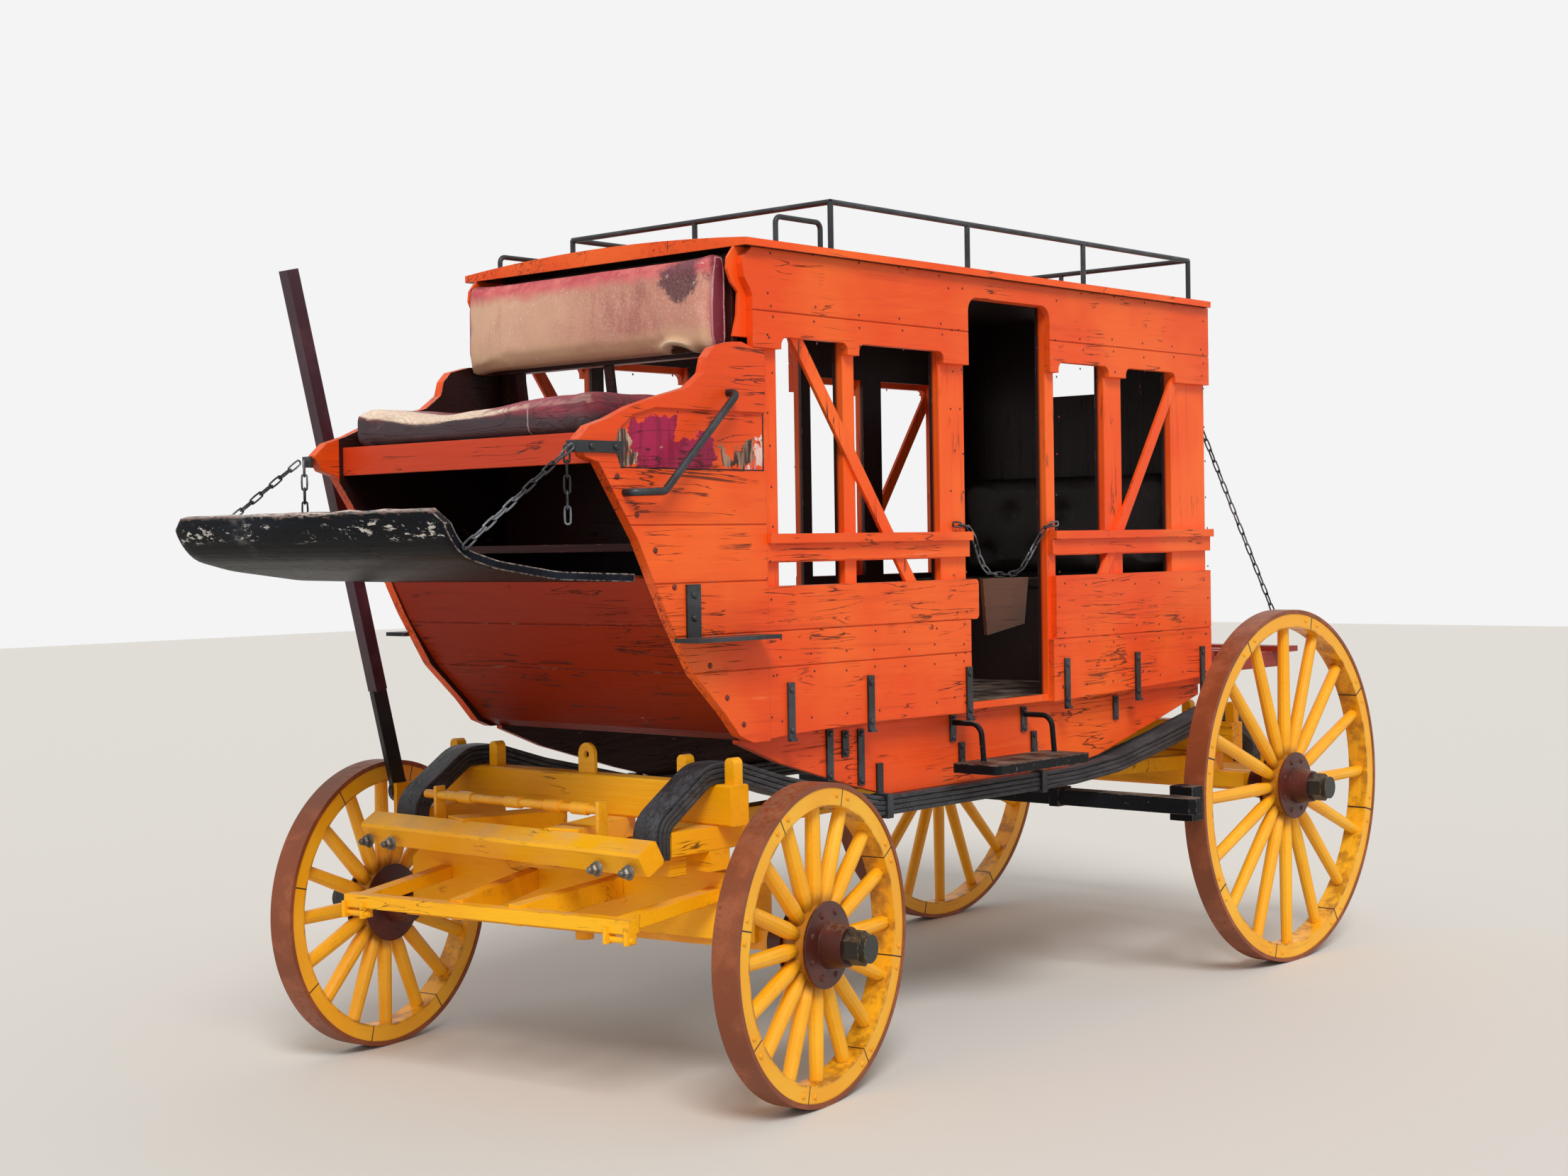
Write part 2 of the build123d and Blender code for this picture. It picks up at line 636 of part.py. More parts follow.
REAR_BEAM_Z0 = REAR_BEAM_TOP - BEAM_H
HOUND_FRONT_Y = BRAKE_BEAM_Y - 80.0
with BuildPart() as rear_bed:
    block((-REAR_BED_X, REAR_BED_X), (REACH_REAR, WHEELBASE + 36), (REAR_BED_Z0, REAR_BED_TOP))
    block((-HOUND_X, HOUND_X), (REACH_REAR, WHEELBASE + 36), (REAR_BED_TOP, REAR_BEAM_Z0))
    block((-REAR_BED_X, REAR_BED_X), (WHEELBASE - AXLE_BAR / 2, WHEELBASE + AXLE_BAR / 2),
          (REAR_R - AXLE_BAR / 2 - 40, REAR_R + AXLE_BAR / 2), mode=Mode.SUBTRACT)
    for side in (-1, 1):
        hound_back = (side * REAR_HOUND_X, REACH_REAR + 4, REAR_BED_TOP + 30)
        bar(hound_back, (side * (REACH_W / 2 + 34), HOUND_FRONT_Y, REAR_BED_TOP + 22), 56.0, 52.0)
        tail = (side * REAR_HOUND_X, REAR_BAR_Y, REAR_BEAM_Z0 - 30)
        bar((side * REAR_HOUND_X, WHEELBASE + 32, REAR_BEAM_Z0 - 30), tail, 50.0, 52.0)
    add(spring_bar(REAR_BAR_Y, REAR_BAR_Z, -SPRING_BAR_TILT))
save("rear_axle_bed", rear_bed.part)

save("rear_standing_beam", standing_beam(REAR_BEAM_Y, REAR_BEAM_TOP))

# Brake beam hung across in front of the rear wheels, a shoe at each end
BRAKE_FRONT = BRAKE_BEAM_Y - BRAKE_BEAM_W / 2
BRAKE_REAR = BRAKE_BEAM_Y + BRAKE_BEAM_W / 2
BRAKE_TOP = FIFTH_TOP + REACH_SLOPE * (BRAKE_FRONT - REACH_FRONT) - SEAT_GAP
BRAKE_BEAM_Z = BRAKE_TOP - BRAKE_BEAM_T / 2
with BuildPart() as brake_beam:
    block((-BRAKE_BEAM_X, BRAKE_BEAM_X), (BRAKE_FRONT, BRAKE_REAR), (BRAKE_TOP - BRAKE_BEAM_T, BRAKE_TOP))
    chamfer(brake_beam.edges().filter_by(Axis.Z), length=18.0)
    for side in (-1, 1):
        block(sorted((side * (WHEEL_X - SHOE_W / 2), side * (WHEEL_X + SHOE_W / 2))), (BRAKE_REAR, SHOE_REAR),
              (BRAKE_BEAM_Z - SHOE_H / 2, BRAKE_BEAM_Z + SHOE_H / 2))
        block(sorted((side * (BRAKE_CLIP_X - 20), side * (BRAKE_CLIP_X + 20))),
              (BRAKE_FRONT - CLIP_T, BRAKE_REAR + CLIP_T),
              (BRAKE_TOP - BRAKE_BEAM_T - CLIP_T, BRAKE_TOP + CLIP_T))
save("brake_beam", brake_beam.part)

# Brake lever: square tube over a flat foot, on a pin that a bracket on the outer hound carries
LEVER_RUN = Vector(0, LEVER_TOP_Y - LEVER_PIVOT_Y, LEVER_TOP_Z - LEVER_PIVOT_Z)
TUBE_FOOT = Vector(LEVER_X, LEVER_PIVOT_Y, LEVER_PIVOT_Z) + LEVER_RUN * 0.2
with BuildPart() as brake_lever:
    bar(tuple(TUBE_FOOT), (LEVER_X, LEVER_TOP_Y, LEVER_TOP_Z), LEVER_T, LEVER_T)
    bar((LEVER_X, LEVER_PIVOT_Y, LEVER_PIVOT_Z), tuple(TUBE_FOOT), LEVER_FOOT_T, 52.0)
    foot_in = (LEVER_X - LEVER_FOOT_T / 2, LEVER_PIVOT_Y, LEVER_PIVOT_Z)
    foot_out = (LEVER_X + LEVER_FOOT_T / 2, LEVER_PIVOT_Y, LEVER_PIVOT_Z)
    pin(foot_in, foot_out, LEVER_EYE_R)
    pin(foot_in, foot_out, PIVOT_R + RUN_FIT, mode=Mode.SUBTRACT)
save("brake_lever", brake_lever.part)

# Body floor on cross bearers that rest on the leather
with BuildPart() as floor:
    block((-INNER_X, INNER_X), (BODY_FRONT, BODY_REAR - WALL_T), (FLOOR_Z - FLOOR_T, FLOOR_Z))
    for bearer in (640.0, 1100.0, 1560.0, 2020.0):
        block((-TIER_X + TIER_T, TIER_X - TIER_T), (bearer, bearer + 70), (TIER_TOP - 60, TIER_TOP))
save("floor", floor.part)

# Lower side boards, curved along the leather
TIER_LINE = (
    (125, BOOT_BOTTOM), (125, 1000), (300, 930), (640, 830), (800, TIER_BOTTOM), (BODY_REAR - 877, TIER_BOTTOM),
    (BODY_REAR - 677, 815), (BODY_REAR - 327, 900), (BODY_REAR, 985), (BODY_REAR, TIER_TOP), (BODY_FRONT, TIER_TOP),
    (BODY_FRONT, BOOT_BOTTOM),
)
with BuildPart() as tier:
    outline(TIER_LINE, TIER_X - TIER_T, TIER_X)
save("lower_boards_left", tier.part)
save("lower_boards_right", mirror(tier.part, about=Plane.YZ))

def bay_braces(mode):
    """Adds or cuts the flat diagonal of each bay, which the side boards and fascia are notched over."""
    with BuildSketch(Plane.YZ.offset(FRAME_X)) as flats:
        for top, foot in BAY_BRACES:
            lean = (top - foot) / (WINDOW_TOP - SLOT_Z0)
            head = (top + lean * BRACE_SEAT, WINDOW_TOP + BRACE_SEAT)
            heel = (foot - lean * BRACE_SEAT, SLOT_Z0 - BRACE_SEAT)
            with BuildLine():
                Polyline((head[0] - BRACE_HALF, head[1]), (heel[0] - BRACE_HALF, heel[1]),
                         (heel[0] + BRACE_HALF, heel[1]), (head[0] + BRACE_HALF, head[1]), close=True)
            make_face()
    extrude(flats.sketch, amount=BAY_BRACE_T, mode=mode)


# Side frame: posts, mullions and rails with the window openings, a flat brace across each bay, and a
# scrolled wing board in front under the roof
with BuildPart() as side_frame:
    block((INNER_X, FRAME_X), (BODY_FRONT, BODY_REAR), (SILL_Z, ROOF_Z))
    for start, end in WINDOWS:
        for gap in ((SILL_STRIP_Z1, WINDOW_TOP + 20), (SLOT_Z0, SLOT_Z1), (SILL_Z + 70, SLOT_Z0 - 36)):
            block((INNER_X, FRAME_X), (start, end), gap, mode=Mode.SUBTRACT)
    block((INNER_X, FRAME_X), (DOOR_Y0, DOOR_Y1), (DOOR_BOTTOM, DOOR_TOP), mode=Mode.SUBTRACT)
    outline(((BODY_FRONT, WING_Z0), (BODY_FRONT, ROOF_Z), (BODY_FRONT - 98, ROOF_Z), (BODY_FRONT - 126, ROOF_Z - 34),
             (BODY_FRONT - 130, ROOF_Z - 66), (BODY_FRONT - 112, ROOF_Z - 104), (BODY_FRONT - 84, ROOF_Z - 130),
             (BODY_FRONT - 90, WING_Z0 + 60), (BODY_FRONT - 108, WING_Z0)), FRAME_X - WING_T, FRAME_X)
    bay_braces(Mode.ADD)
save("side_frame_left", side_frame.part)
save("side_frame_right", mirror(side_frame.part, about=Plane.YZ))

# Side boards: lower boards, belt boards and sill strips, fore and aft of the door
FRONT_BOARD_LINE = (
    (BODY_FRONT, 1012), (330, 1019), (700, 1028), (DOOR_Y0 - 4, 1021), (DOOR_Y0 - 4, PANEL_SEAM),
    (DOOR_Y0 + 40, PANEL_SEAM), (DOOR_Y0 + 40, SLOT_Z0), (BODY_FRONT, SLOT_Z0),
)
REAR_BOARD_LINE = (
    (DOOR_Y1 + 4, 1026), (2170, 1040), (BODY_REAR, 1060), (BODY_REAR, SLOT_Z0),
    (DOOR_Y1 + 22, SLOT_Z0), (DOOR_Y1 + 22, REAR_SEAM), (DOOR_Y1 + 4, REAR_SEAM),
)
with BuildPart() as side_boards:
    outline(FRONT_BOARD_LINE, FRAME_X, BODY_X)
    outline(REAR_BOARD_LINE, FRAME_X, BODY_X)
    door_ends = side_boards.edges().filter_by(Axis.X).filter_by_position(Axis.Y, DOOR_Y0, DOOR_Y1)
    fillet(door_ends.filter_by_position(Axis.Z, REAR_SEAM - 1, SLOT_Z0 + 1), radius=16.0)
    seam(BODY_X, (BODY_FRONT, DOOR_Y0), SIDE_SEAM)
    seam(BODY_X, (BODY_FRONT, DOOR_Y0), PANEL_SEAM)
    seam(BODY_X, (DOOR_Y1, BODY_REAR), REAR_SEAM)
    for start, end in ((BODY_FRONT, DOOR_Y0 - 6), (DOOR_Y1 + 6, BODY_REAR)):
        block((FRAME_X, BODY_X), (start, end), (SLOT_Z1 + 4, BELT_Z1))
        block((FRAME_X, BODY_X + 16), (start, end), (BELT_Z1, SILL_STRIP_Z1))
    bay_braces(Mode.SUBTRACT)
save("side_boards_left", side_boards.part)
save("side_boards_right", mirror(side_boards.part, about=Plane.YZ))

# Fascia: two boards over the windows, arched over each window and the door
with BuildPart() as fascia:
    outline(((FASCIA_FRONT, FASCIA_Z0), (BODY_REAR, FASCIA_Z0), (BODY_REAR, ROOF_Z), (FASCIA_FRONT, ROOF_Z),
             (FASCIA_FRONT - 36, ROOF_Z - 30), (FASCIA_FRONT - 40, ROOF_Z - 50), (FASCIA_FRONT - 34, ROOF_Z - 88),
             (FASCIA_FRONT - 10, ROOF_Z - 119), (FASCIA_FRONT, ROOF_Z - 140)), FRAME_X, BODY_X + 2)
    seam(BODY_X + 2, (FASCIA_FRONT, BODY_REAR), FASCIA_JOINT)
    with BuildSketch(Plane.YZ.offset(FRAME_X)):
        for start, end in WINDOWS:
            with Locations(((start + end) / 2, FASCIA_Z0)):
                RectangleRounded(end - start, 2 * (WINDOW_TOP - FASCIA_Z0), 26.0)
        with Locations(((DOOR_Y0 + DOOR_Y1) / 2, (DOOR_TOP + FASCIA_Z0 - 100) / 2)):
            RectangleRounded(DOOR_Y1 - DOOR_Y0, DOOR_TOP - FASCIA_Z0 + 100, 46.0)
    extrude(amount=BOARD_T + 2, mode=Mode.SUBTRACT)
    bay_braces(Mode.SUBTRACT)
save("fascia_left", fascia.part)
save("fascia_right", mirror(fascia.part, about=Plane.YZ))

# Front bulkhead behind the driver, open in a band under the back cushion
with BuildPart() as bulkhead:
    block((-INNER_X, INNER_X), (BODY_FRONT, BODY_FRONT + WALL_T), (FLOOR_Z, ROOF_Z))
    block((-INNER_X + 60, INNER_X - 60), (BODY_FRONT, BODY_FRONT + WALL_T), (1990, 2130), mode=Mode.SUBTRACT)
save("front_bulkhead", bulkhead.part)

with BuildPart() as rear_wall:
    block((-INNER_X, INNER_X), (BODY_REAR - WALL_T, BODY_REAR), (SILL_Z, ROOF_Z))
    with BuildSketch(Plane.XZ.offset(-BODY_REAR)):
        with Locations((0, 2215)):
            RectangleRounded(330, 165, 60.0)
    extrude(amount=WALL_T, mode=Mode.SUBTRACT)
save("rear_wall", rear_wall.part)

# Roof with a low camber
with BuildPart() as roof:
    with BuildSketch(Plane.XZ.offset(-ROOF_REAR)):
        with BuildLine():
            edge = (ROOF_X, ROOF_TOP - ROOF_CAMBER)
            far_edge = (-ROOF_X, ROOF_TOP - ROOF_CAMBER)
            Polyline(far_edge, (-ROOF_X, ROOF_Z), (ROOF_X, ROOF_Z), edge)
            ThreePointArc(edge, (0, ROOF_TOP), far_edge)
        make_face()
    extrude(amount=ROOF_REAR - ROOF_FRONT)
save("roof", roof.part)

def roof_top(x):
    """Height of the cambered roof at a distance across."""
    return ROOF_TOP - ROOF_ARC_R + math.sqrt(ROOF_ARC_R ** 2 - x ** 2)


# Roof rail of bent iron with its posts, and a grab handle at each front corner
with BuildPart() as roof_rail:
    first = RAIL_POSTS[0]
    last = RAIL_POSTS[-1]
    foot = roof_top(RAIL_X - RAIL_R)
    grab_foot = roof_top(HANDLE_X - HANDLE_R)
    for side in (-1, 1):
        rod((side * RAIL_X, first, RAIL_Z), (side * RAIL_X, last, RAIL_Z), RAIL_R)
        for post in RAIL_POSTS:
            rod((side * RAIL_X, post, foot), (side * RAIL_X, post, RAIL_Z), RAIL_R)
        x = side * HANDLE_X
        bent_rod(((x, 240, grab_foot), (x, 240, 2520), (x, 439, 2520), (x, 439, grab_foot)), HANDLE_R, 20.0)
    for y in (first, last):
        rod((-RAIL_X, y, RAIL_Z), (RAIL_X, y, RAIL_Z), RAIL_R)
        rod((0, y, ROOF_TOP), (0, y, RAIL_Z), RAIL_R)
save("roof_rail", roof_rail.part)

# Driver's boot: raked sides with scrolled arms, a sunk panel under each arm and seams between the planks
BOOT_LINE = (
    (125, BOOT_FOOT), (BODY_FRONT, BOOT_FOOT), (BODY_FRONT, FASCIA_Z0 - SEAT_GAP),
    (FASCIA_FRONT - 4, FASCIA_Z0 - SEAT_GAP), (100, 2151), (60, 2149), (-15, 2130),
    (-44, 2100), (-57, 2056), (-117, 2013), (-233, 1984), (-346, 1952), (-424, 1919), (-500, 1896), (-546, 1855),
    (-518, 1813), (-467, 1798), (-327, 1592), (-218, 1380), (-117, 1216), (6, 1099), (70, 1028),
)
BOOT_PANEL = (
    (-388, PANEL_Z0), (BODY_FRONT, PANEL_Z0), (BODY_FRONT, PANEL_Z1), (-250, PANEL_Z1), (-338, PANEL_Z1 - 22),
    (-392, PANEL_Z1 - 62), (-410, PANEL_Z1 - 110),
)
with BuildPart() as boot_side:
    outline(BOOT_LINE, BOOT_IN, BODY_X)
    arm_corners = boot_side.edges().filter_by(Axis.X).filter_by_position(Axis.Z, PANEL_Z0, ROOF_Z)
    fillet(arm_corners.filter_by_position(Axis.Y, NOSE_IRON_Y, BODY_FRONT - 1), radius=10.0)
    outline(BOOT_PANEL, BODY_X - PANEL_DEEP, BODY_X, mode=Mode.SUBTRACT)
    for height in BOOT_SEAMS:
        seam(BODY_X, (NOSE_IRON_Y, BODY_FRONT), height)
save("boot_side_left", boot_side.part)
save("boot_side_right", mirror(boot_side.part, about=Plane.YZ))

# Raked front panel of the boot, between the sides
BOOT_FRONT_LINE = (
    (-268, 476), (-196, 342), (-95, 206), (26, 89), (90, 24), (140, 0), (BODY_FRONT, 0), (BODY_FRONT, 24),
    (150, 24), (108, 42), (44, 106), (-76, 220), (-175, 352), (-246, 484),
)
with BuildPart() as boot_front:
    outline([(along, BOOT_BOTTOM + up) for along, up in BOOT_FRONT_LINE], -BOOT_IN, BOOT_IN)
    for along, up in (BOOT_FRONT_LINE[1], BOOT_FRONT_LINE[2]):
        place = (along, BOOT_BOTTOM + up)
        pin((-BOOT_IN, *place), (BOOT_IN, *place), SEAM_DEEP, mode=Mode.SUBTRACT)
save("boot_front", boot_front.part)

# Seat box: floor of the seat, its front board and the shelf under it
with BuildPart() as seat_box:
    block((-BOOT_IN, BOOT_IN), (SEAT_FRONT, BODY_FRONT), (SEAT_Z - BOARD_T, SEAT_Z))
    block((-BOOT_IN, BOOT_IN), (SEAT_FRONT, SEAT_FRONT + BOARD_T), (SEAT_Z - RISER_H, SEAT_Z - BOARD_T))
    block((-BOOT_IN, BOOT_IN), (-262, BODY_FRONT), (SHELF_Z - BOARD_T, SHELF_Z))
    block((-BACK_X + 10, BACK_X - 10), (BACK_REAR, BACK_REAR + BOARD_T), (BACK_Z0 + 14, BACK_Z1 - 6))
    for x in (-400.0, 0.0, 400.0):
        bar((x, BODY_FRONT - BOARD_T, SEAT_Z), (x, BACK_REAR + BOARD_T + 4, BACK_Z0 + 54), 34.0, STRUT_T)
save("seat_box", seat_box.part)

# Footboard, dished up towards its front lip
FOOT_TOP = ((-300, 1500), (-598, 1512), (-822, 1544), (-930, 1575), (-975, 1625), (LIP_FRONT + 14, 1684))
FOOT_UNDER = ((LIP_FRONT, 1672), (-990, 1606), (-945, 1553), (-822, 1520), (-598, 1488), (-300, 1476))
FOOT_PLAN = ((FOOTBOARD_X, -300), (FOOTBOARD_X, -345), (LIP_X, -930), (LIP_X, LIP_FRONT))
LIP_VIEW = ((LIP_X, 1640), (LIP_TOP_X + 18, 1680), (LIP_TOP_X - 12, 1700))
with BuildPart() as footboard:
    outline(FOOT_TOP + FOOT_UNDER, -LIP_X, LIP_X)
    with BuildSketch(Plane.XY.offset(SHELF_Z - 200)):
        with BuildLine():
            Polyline(*FOOT_PLAN, *[(-x, y) for x, y in reversed(FOOT_PLAN)], close=True)
        make_face()
    extrude(amount=400, mode=Mode.INTERSECT)
    with BuildSketch(Plane.XZ.offset(-LIP_FRONT - 100)):
        for side in (-1, 1):
            with BuildLine():
                Polyline(*[(side * x, z) for x, z in LIP_VIEW], (side * (LIP_X + 20), 1700),
                         (side * (LIP_X + 20), 1640), close=True)
            make_face()
    extrude(amount=200, mode=Mode.SUBTRACT)
save("footboard", footboard.part)

# Seat cushion and back cushion
with BuildPart() as seat_cushion:
    block((-CUSHION_X, CUSHION_X), (SEAT_FRONT - 8, 60), (SEAT_Z + SEAT_GAP, SEAT_Z + CUSHION_H))
    fillet(seat_cushion.edges(), radius=18.0)
save("seat_cushion", seat_cushion.part)
with BuildPart() as back_cushion:
    block((-BACK_X, BACK_X), (BACK_FRONT, BACK_REAR - SEAT_GAP), (BACK_Z0, BACK_Z1))
    fillet(back_cushion.edges(), radius=26.0)
save("back_cushion", back_cushion.part)

# Boot irons: grab handle, front corner straps with chain hooks, and step irons
with BuildPart() as boot_irons:
    bent_rod(((BODY_X, 39, 2003), (GRAB_X, 39, 2003), (GRAB_X, -262, 1722), (GRAB_X, -375, 1719),
              (BODY_X, -375, 1719)), GRAB_R, 26.0)
    for side in (-1, 1):
        face = side * BODY_X
        outer = side * (BODY_X + STRAP_T)
        block(sorted((face, outer)), (NOSE_IRON_Y, -384), NOSE_IRON_Z)
        block(sorted((side * (BODY_X - 30), outer)), (NOSE_IRON_Y, NOSE_IRON_Y + STRAP_T), NOSE_IRON_Z)
        block(sorted((face, outer)), (-146, -92), (STEP_Z, 1466))
        block(sorted((face, face + side * STEP_W)), (-193, 153), (STEP_Z - STEP_T, STEP_Z))
save("boot_irons", boot_irons.part)

# Benches inside, and the padded back of the rear one
with BuildPart() as front_bench:
    block((-INNER_X, INNER_X), (BODY_FRONT + WALL_T, 620), (BENCH_Z - BENCH_T, BENCH_Z))
    block((-INNER_X, INNER_X), (612 - BOARD_T, 612), (FLOOR_Z, BENCH_Z - BENCH_T))
save("front_bench", front_bench.part)
with BuildPart() as rear_bench:
    block((-INNER_X, INNER_X), (BODY_REAR - 447, BODY_REAR - WALL_T), (BENCH_Z - BENCH_T, BENCH_Z))
    block((-INNER_X, INNER_X), (BODY_REAR - 439, BODY_REAR - 439 + BOARD_T), (FLOOR_Z, BENCH_Z - BENCH_T))
save("rear_bench", rear_bench.part)
with BuildPart() as bench_back:
    block((-INNER_X + 8, INNER_X - 8), (BODY_REAR - 117, BODY_REAR - WALL_T - SEAT_GAP), (BENCH_Z + SEAT_GAP, 1845))
    fillet(bench_back.edges().filter_by(Axis.Y), radius=70.0)
    fillet(bench_back.edges().group_by(Axis.Y)[0], radius=30.0)
save("rear_back_pad", bench_back.part)

# Chain across the door opening with a small bare board on it
CHAIN_X = FRAME_X + LINK_W / 2 + SEAT_GAP
CHAIN_END = SILL_STRIP_Z1 + LINK_W / 2 + 9
CHAIN_LINE = (
    (1104, CHAIN_END + 4), (DOOR_Y0 + 14, CHAIN_END), (1268, CHAIN_LOW), (1462, CHAIN_LOW),
    (DOOR_Y1 - 20, CHAIN_END), (1690, CHAIN_END + 4),
)
with BuildLine() as chain_run:
    FilletPolyline(*[(CHAIN_X, *place) for place in CHAIN_LINE], radius=CHAIN_BEND)
DOOR_LINKS = 19
save("door_chain", Compound(chain([chain_run.line @ (n / DOOR_LINKS) for n in range(DOOR_LINKS + 1)])))

SIGN_TOP = CHAIN_LOW - LINK_W / 2 - SEAT_GAP
with BuildPart() as sign_board:
    outline(((1248, SIGN_TOP), (1504, SIGN_TOP), (1478, SIGN_TOP - 154), (1270, SIGN_TOP - 184)),
            CHAIN_X - SIGN_T / 2, CHAIN_X + SIGN_T / 2)
save("sign_board", sign_board.part)

# Black straps on the side boards, a lower row on the curved boards, and the loops that hold the leather
LOOP_Z = BRACE_MID_Z - BRACE_T / 2 - SEAT_GAP
LOOP_IN = BRACE_X - BRACE_W / 2
LOOP_OUT = BRACE_X + BRACE_W / 2 + SEAT_GAP + STRAP_T
REAR_STRAP = BODY_REAR - 73.0
UPPER_STRAPS = (BODY_FRONT + 88, 655.0, DOOR_Y0 - 24, DOOR_Y1 + 75, (DOOR_Y1 + 75 + REAR_STRAP) / 2, REAR_STRAP)
with BuildPart() as body_irons:
    for y in UPPER_STRAPS:
        width = (y - STRAP_W / 2, y + STRAP_W / 2)
        block((BODY_X, BODY_X + STRAP_T), width, (STRAP_FOOT, STRAP_HEAD))
        block((BODY_X, BODY_X + 2 * STRAP_T), width, (STRAP_FOOT - STRAP_T, STRAP_FOOT))
    for y, foot, head in LOWER_STRAPS:
        block((TIER_X, TIER_X + STRAP_T), (y - STRAP_W / 2, y + STRAP_W / 2), (foot, head))
    for y, shoulder in LOOPS:
        across = (y - STRAP_W / 2, y + STRAP_W / 2)
        block((TIER_X, TIER_X + STRAP_T), across, (shoulder, shoulder + 100))
        block((TIER_X, LOOP_OUT), across, (shoulder, shoulder + STRAP_T))
        block((LOOP_OUT - STRAP_T, LOOP_OUT), across, (LOOP_Z, shoulder))
        block((LOOP_IN, LOOP_OUT), across, (LOOP_Z - STRAP_T, LOOP_Z))
save("body_irons", both_sides(body_irons.part))

# Door steps: plank hung on two bent irons
STEP_ROOT = TIER_X + STRAP_T
with BuildPart() as door_step:
    block((STEP_IN, STEP_OUT), (1045, 1570), (STEP_PLANK_Z - BENCH_T, STEP_PLANK_Z))
    fillet(door_step.edges().filter_by(Axis.Z), radius=22.0)
    for y, foot, head in LOWER_STRAPS[3::2][:2]:
        bent_rod(((STEP_ROOT, y, STEP_IRON_Z), (STEP_IN + 48, y, STEP_IRON_Z), (STEP_IN + 58, y, STEP_PLANK_Z)),
                 9.0, 40.0)
save("door_steps", both_sides(door_step.part))

# Rear rack hung on chains, with cross planks and a diagonal
with BuildPart() as rear_rack:
    for side in (-1, 1):
        bar((side * RACK_ARM_X, BODY_REAR, RACK_Z), (side * RACK_ARM_X, RACK_REAR, RACK_Z), 50.0, 60.0)
    bar((-560, RACK_REAR - 60, RACK_Z + 41), (560, RACK_REAR - 60, RACK_Z + 41), 90.0, 22.0)
    for number in range(3):
        y = BODY_REAR + 123 + number * RACK_PITCH
        bar((-RACK_ARM_X - 30, y, RACK_Z + 40), (RACK_ARM_X + 30, y, RACK_Z + 40), 80.0, 20.0)
    bar((-RACK_ARM_X, BODY_REAR + 20, RACK_Z), (RACK_ARM_X, RACK_REAR - 60, RACK_Z), 46.0, 40.0)
save("rear_rack", rear_rack.part)

# Chains: from each nose iron to the footboard, its loose end, and from each rear corner to the rack
# (links, start, end), on the left side
FOOT_X = LIP_X + LINK_WIRE / 2 + SEAT_GAP
LOOSE_X = FOOT_X - LINK_W - 1.3
LOOSE_Y = NOSE_IRON_Y - LINK_W / 2 - SEAT_GAP
RACK_PLANK = RACK_Z + 52 + LINK_W / 2 + 1.3
CHAINS = (
    (11, (FOOT_X, LOOSE_Y - 0.8, 1840), (FOOT_X, -945, 1578)),
    (5, (LOOSE_X, LOOSE_Y, 1840), (LOOSE_X, LOOSE_Y, 1638)),
    (21, (545, BODY_REAR + LINK_W / 2 + 2.2, 1979), (530, RACK_REAR - 60, RACK_PLANK)),
)
links = []
for count, start, end in CHAINS:
    links += chain(stops(start, end, count))
save("stay_chains", Compound(links + [mirror(link, about=Plane.YZ) for link in links]))
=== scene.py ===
"""The looks of a horse-drawn passenger coach hung on leather bands, built over its fixed frame."""

import logging
import math
import random
from contextlib import contextmanager
from dataclasses import dataclass
from enum import Enum
from typing import Iterable, Iterator, Sequence

import bpy
from mathutils import Matrix, Vector, noise


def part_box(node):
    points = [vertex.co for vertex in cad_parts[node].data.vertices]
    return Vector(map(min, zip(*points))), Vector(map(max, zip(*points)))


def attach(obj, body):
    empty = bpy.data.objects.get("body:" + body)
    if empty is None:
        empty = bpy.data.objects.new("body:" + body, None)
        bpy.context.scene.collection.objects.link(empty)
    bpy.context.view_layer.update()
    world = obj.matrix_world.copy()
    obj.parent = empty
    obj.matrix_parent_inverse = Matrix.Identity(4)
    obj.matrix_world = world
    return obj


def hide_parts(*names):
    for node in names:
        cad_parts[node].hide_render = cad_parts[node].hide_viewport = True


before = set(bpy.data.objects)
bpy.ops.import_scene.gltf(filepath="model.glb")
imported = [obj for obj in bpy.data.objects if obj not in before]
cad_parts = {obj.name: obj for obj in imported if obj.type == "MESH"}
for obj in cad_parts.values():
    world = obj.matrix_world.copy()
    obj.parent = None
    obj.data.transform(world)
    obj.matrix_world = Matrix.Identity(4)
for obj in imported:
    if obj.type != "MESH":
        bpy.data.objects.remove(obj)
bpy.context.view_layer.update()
LOG = logging.getLogger("coach")

# Places in metres
CENTRE_Y = -1.224
WHEEL_X = 0.809
PARKED_STEER = math.radians(9.0)
CUSHION_RISE = 0.014
TEAR_X = 0.392
TEAR_UP = 0.002
TEAR_SIZE = (0.060, 0.040)

# Places in millimetres
LOW_FACE = 532.0
BOARD_FACE = 584.0
FASCIA_FACE = 586.0
STRAP_FACE = 592.0
FASCIA_FOOT = 2139.0
DOOR_SPAN = (1180.0, 1640.0)
WINDOW_HEIGHTS = (1595.0, 2160.0)
WINDOW_SPANS = ((270.0, 572.0), (626.0, 1048.0), (1690.0, 2000.0), (2110.0, 2441.0))

# A wheel's felloes, where their joints lie as a share of a felloe and in radians, and its hub bolts
FELLOES = 8
JOINT_SHARE = 0.31
JOINT_TURN = 0.243
HUB_BOLTS = 8

SIDES = (("left", 1), ("right", -1))

Colour = tuple[float, float, float, float]


def paint(code: str) -> Colour:
    """Turns a written colour such as "#C84020" into Blender's linear values.

    Args:
        code: Six hexadecimal digits after a hash sign.

    Returns:
        Red, green, blue and an alpha of one.
    """
    parts = [int(code[i:i + 2], 16) / 255 for i in (1, 3, 5)]
    linear = [c / 12.92 if c <= 0.04045 else ((c + 0.055) / 1.055) ** 2.4 for c in parts]
    return linear[0], linear[1], linear[2], 1.0


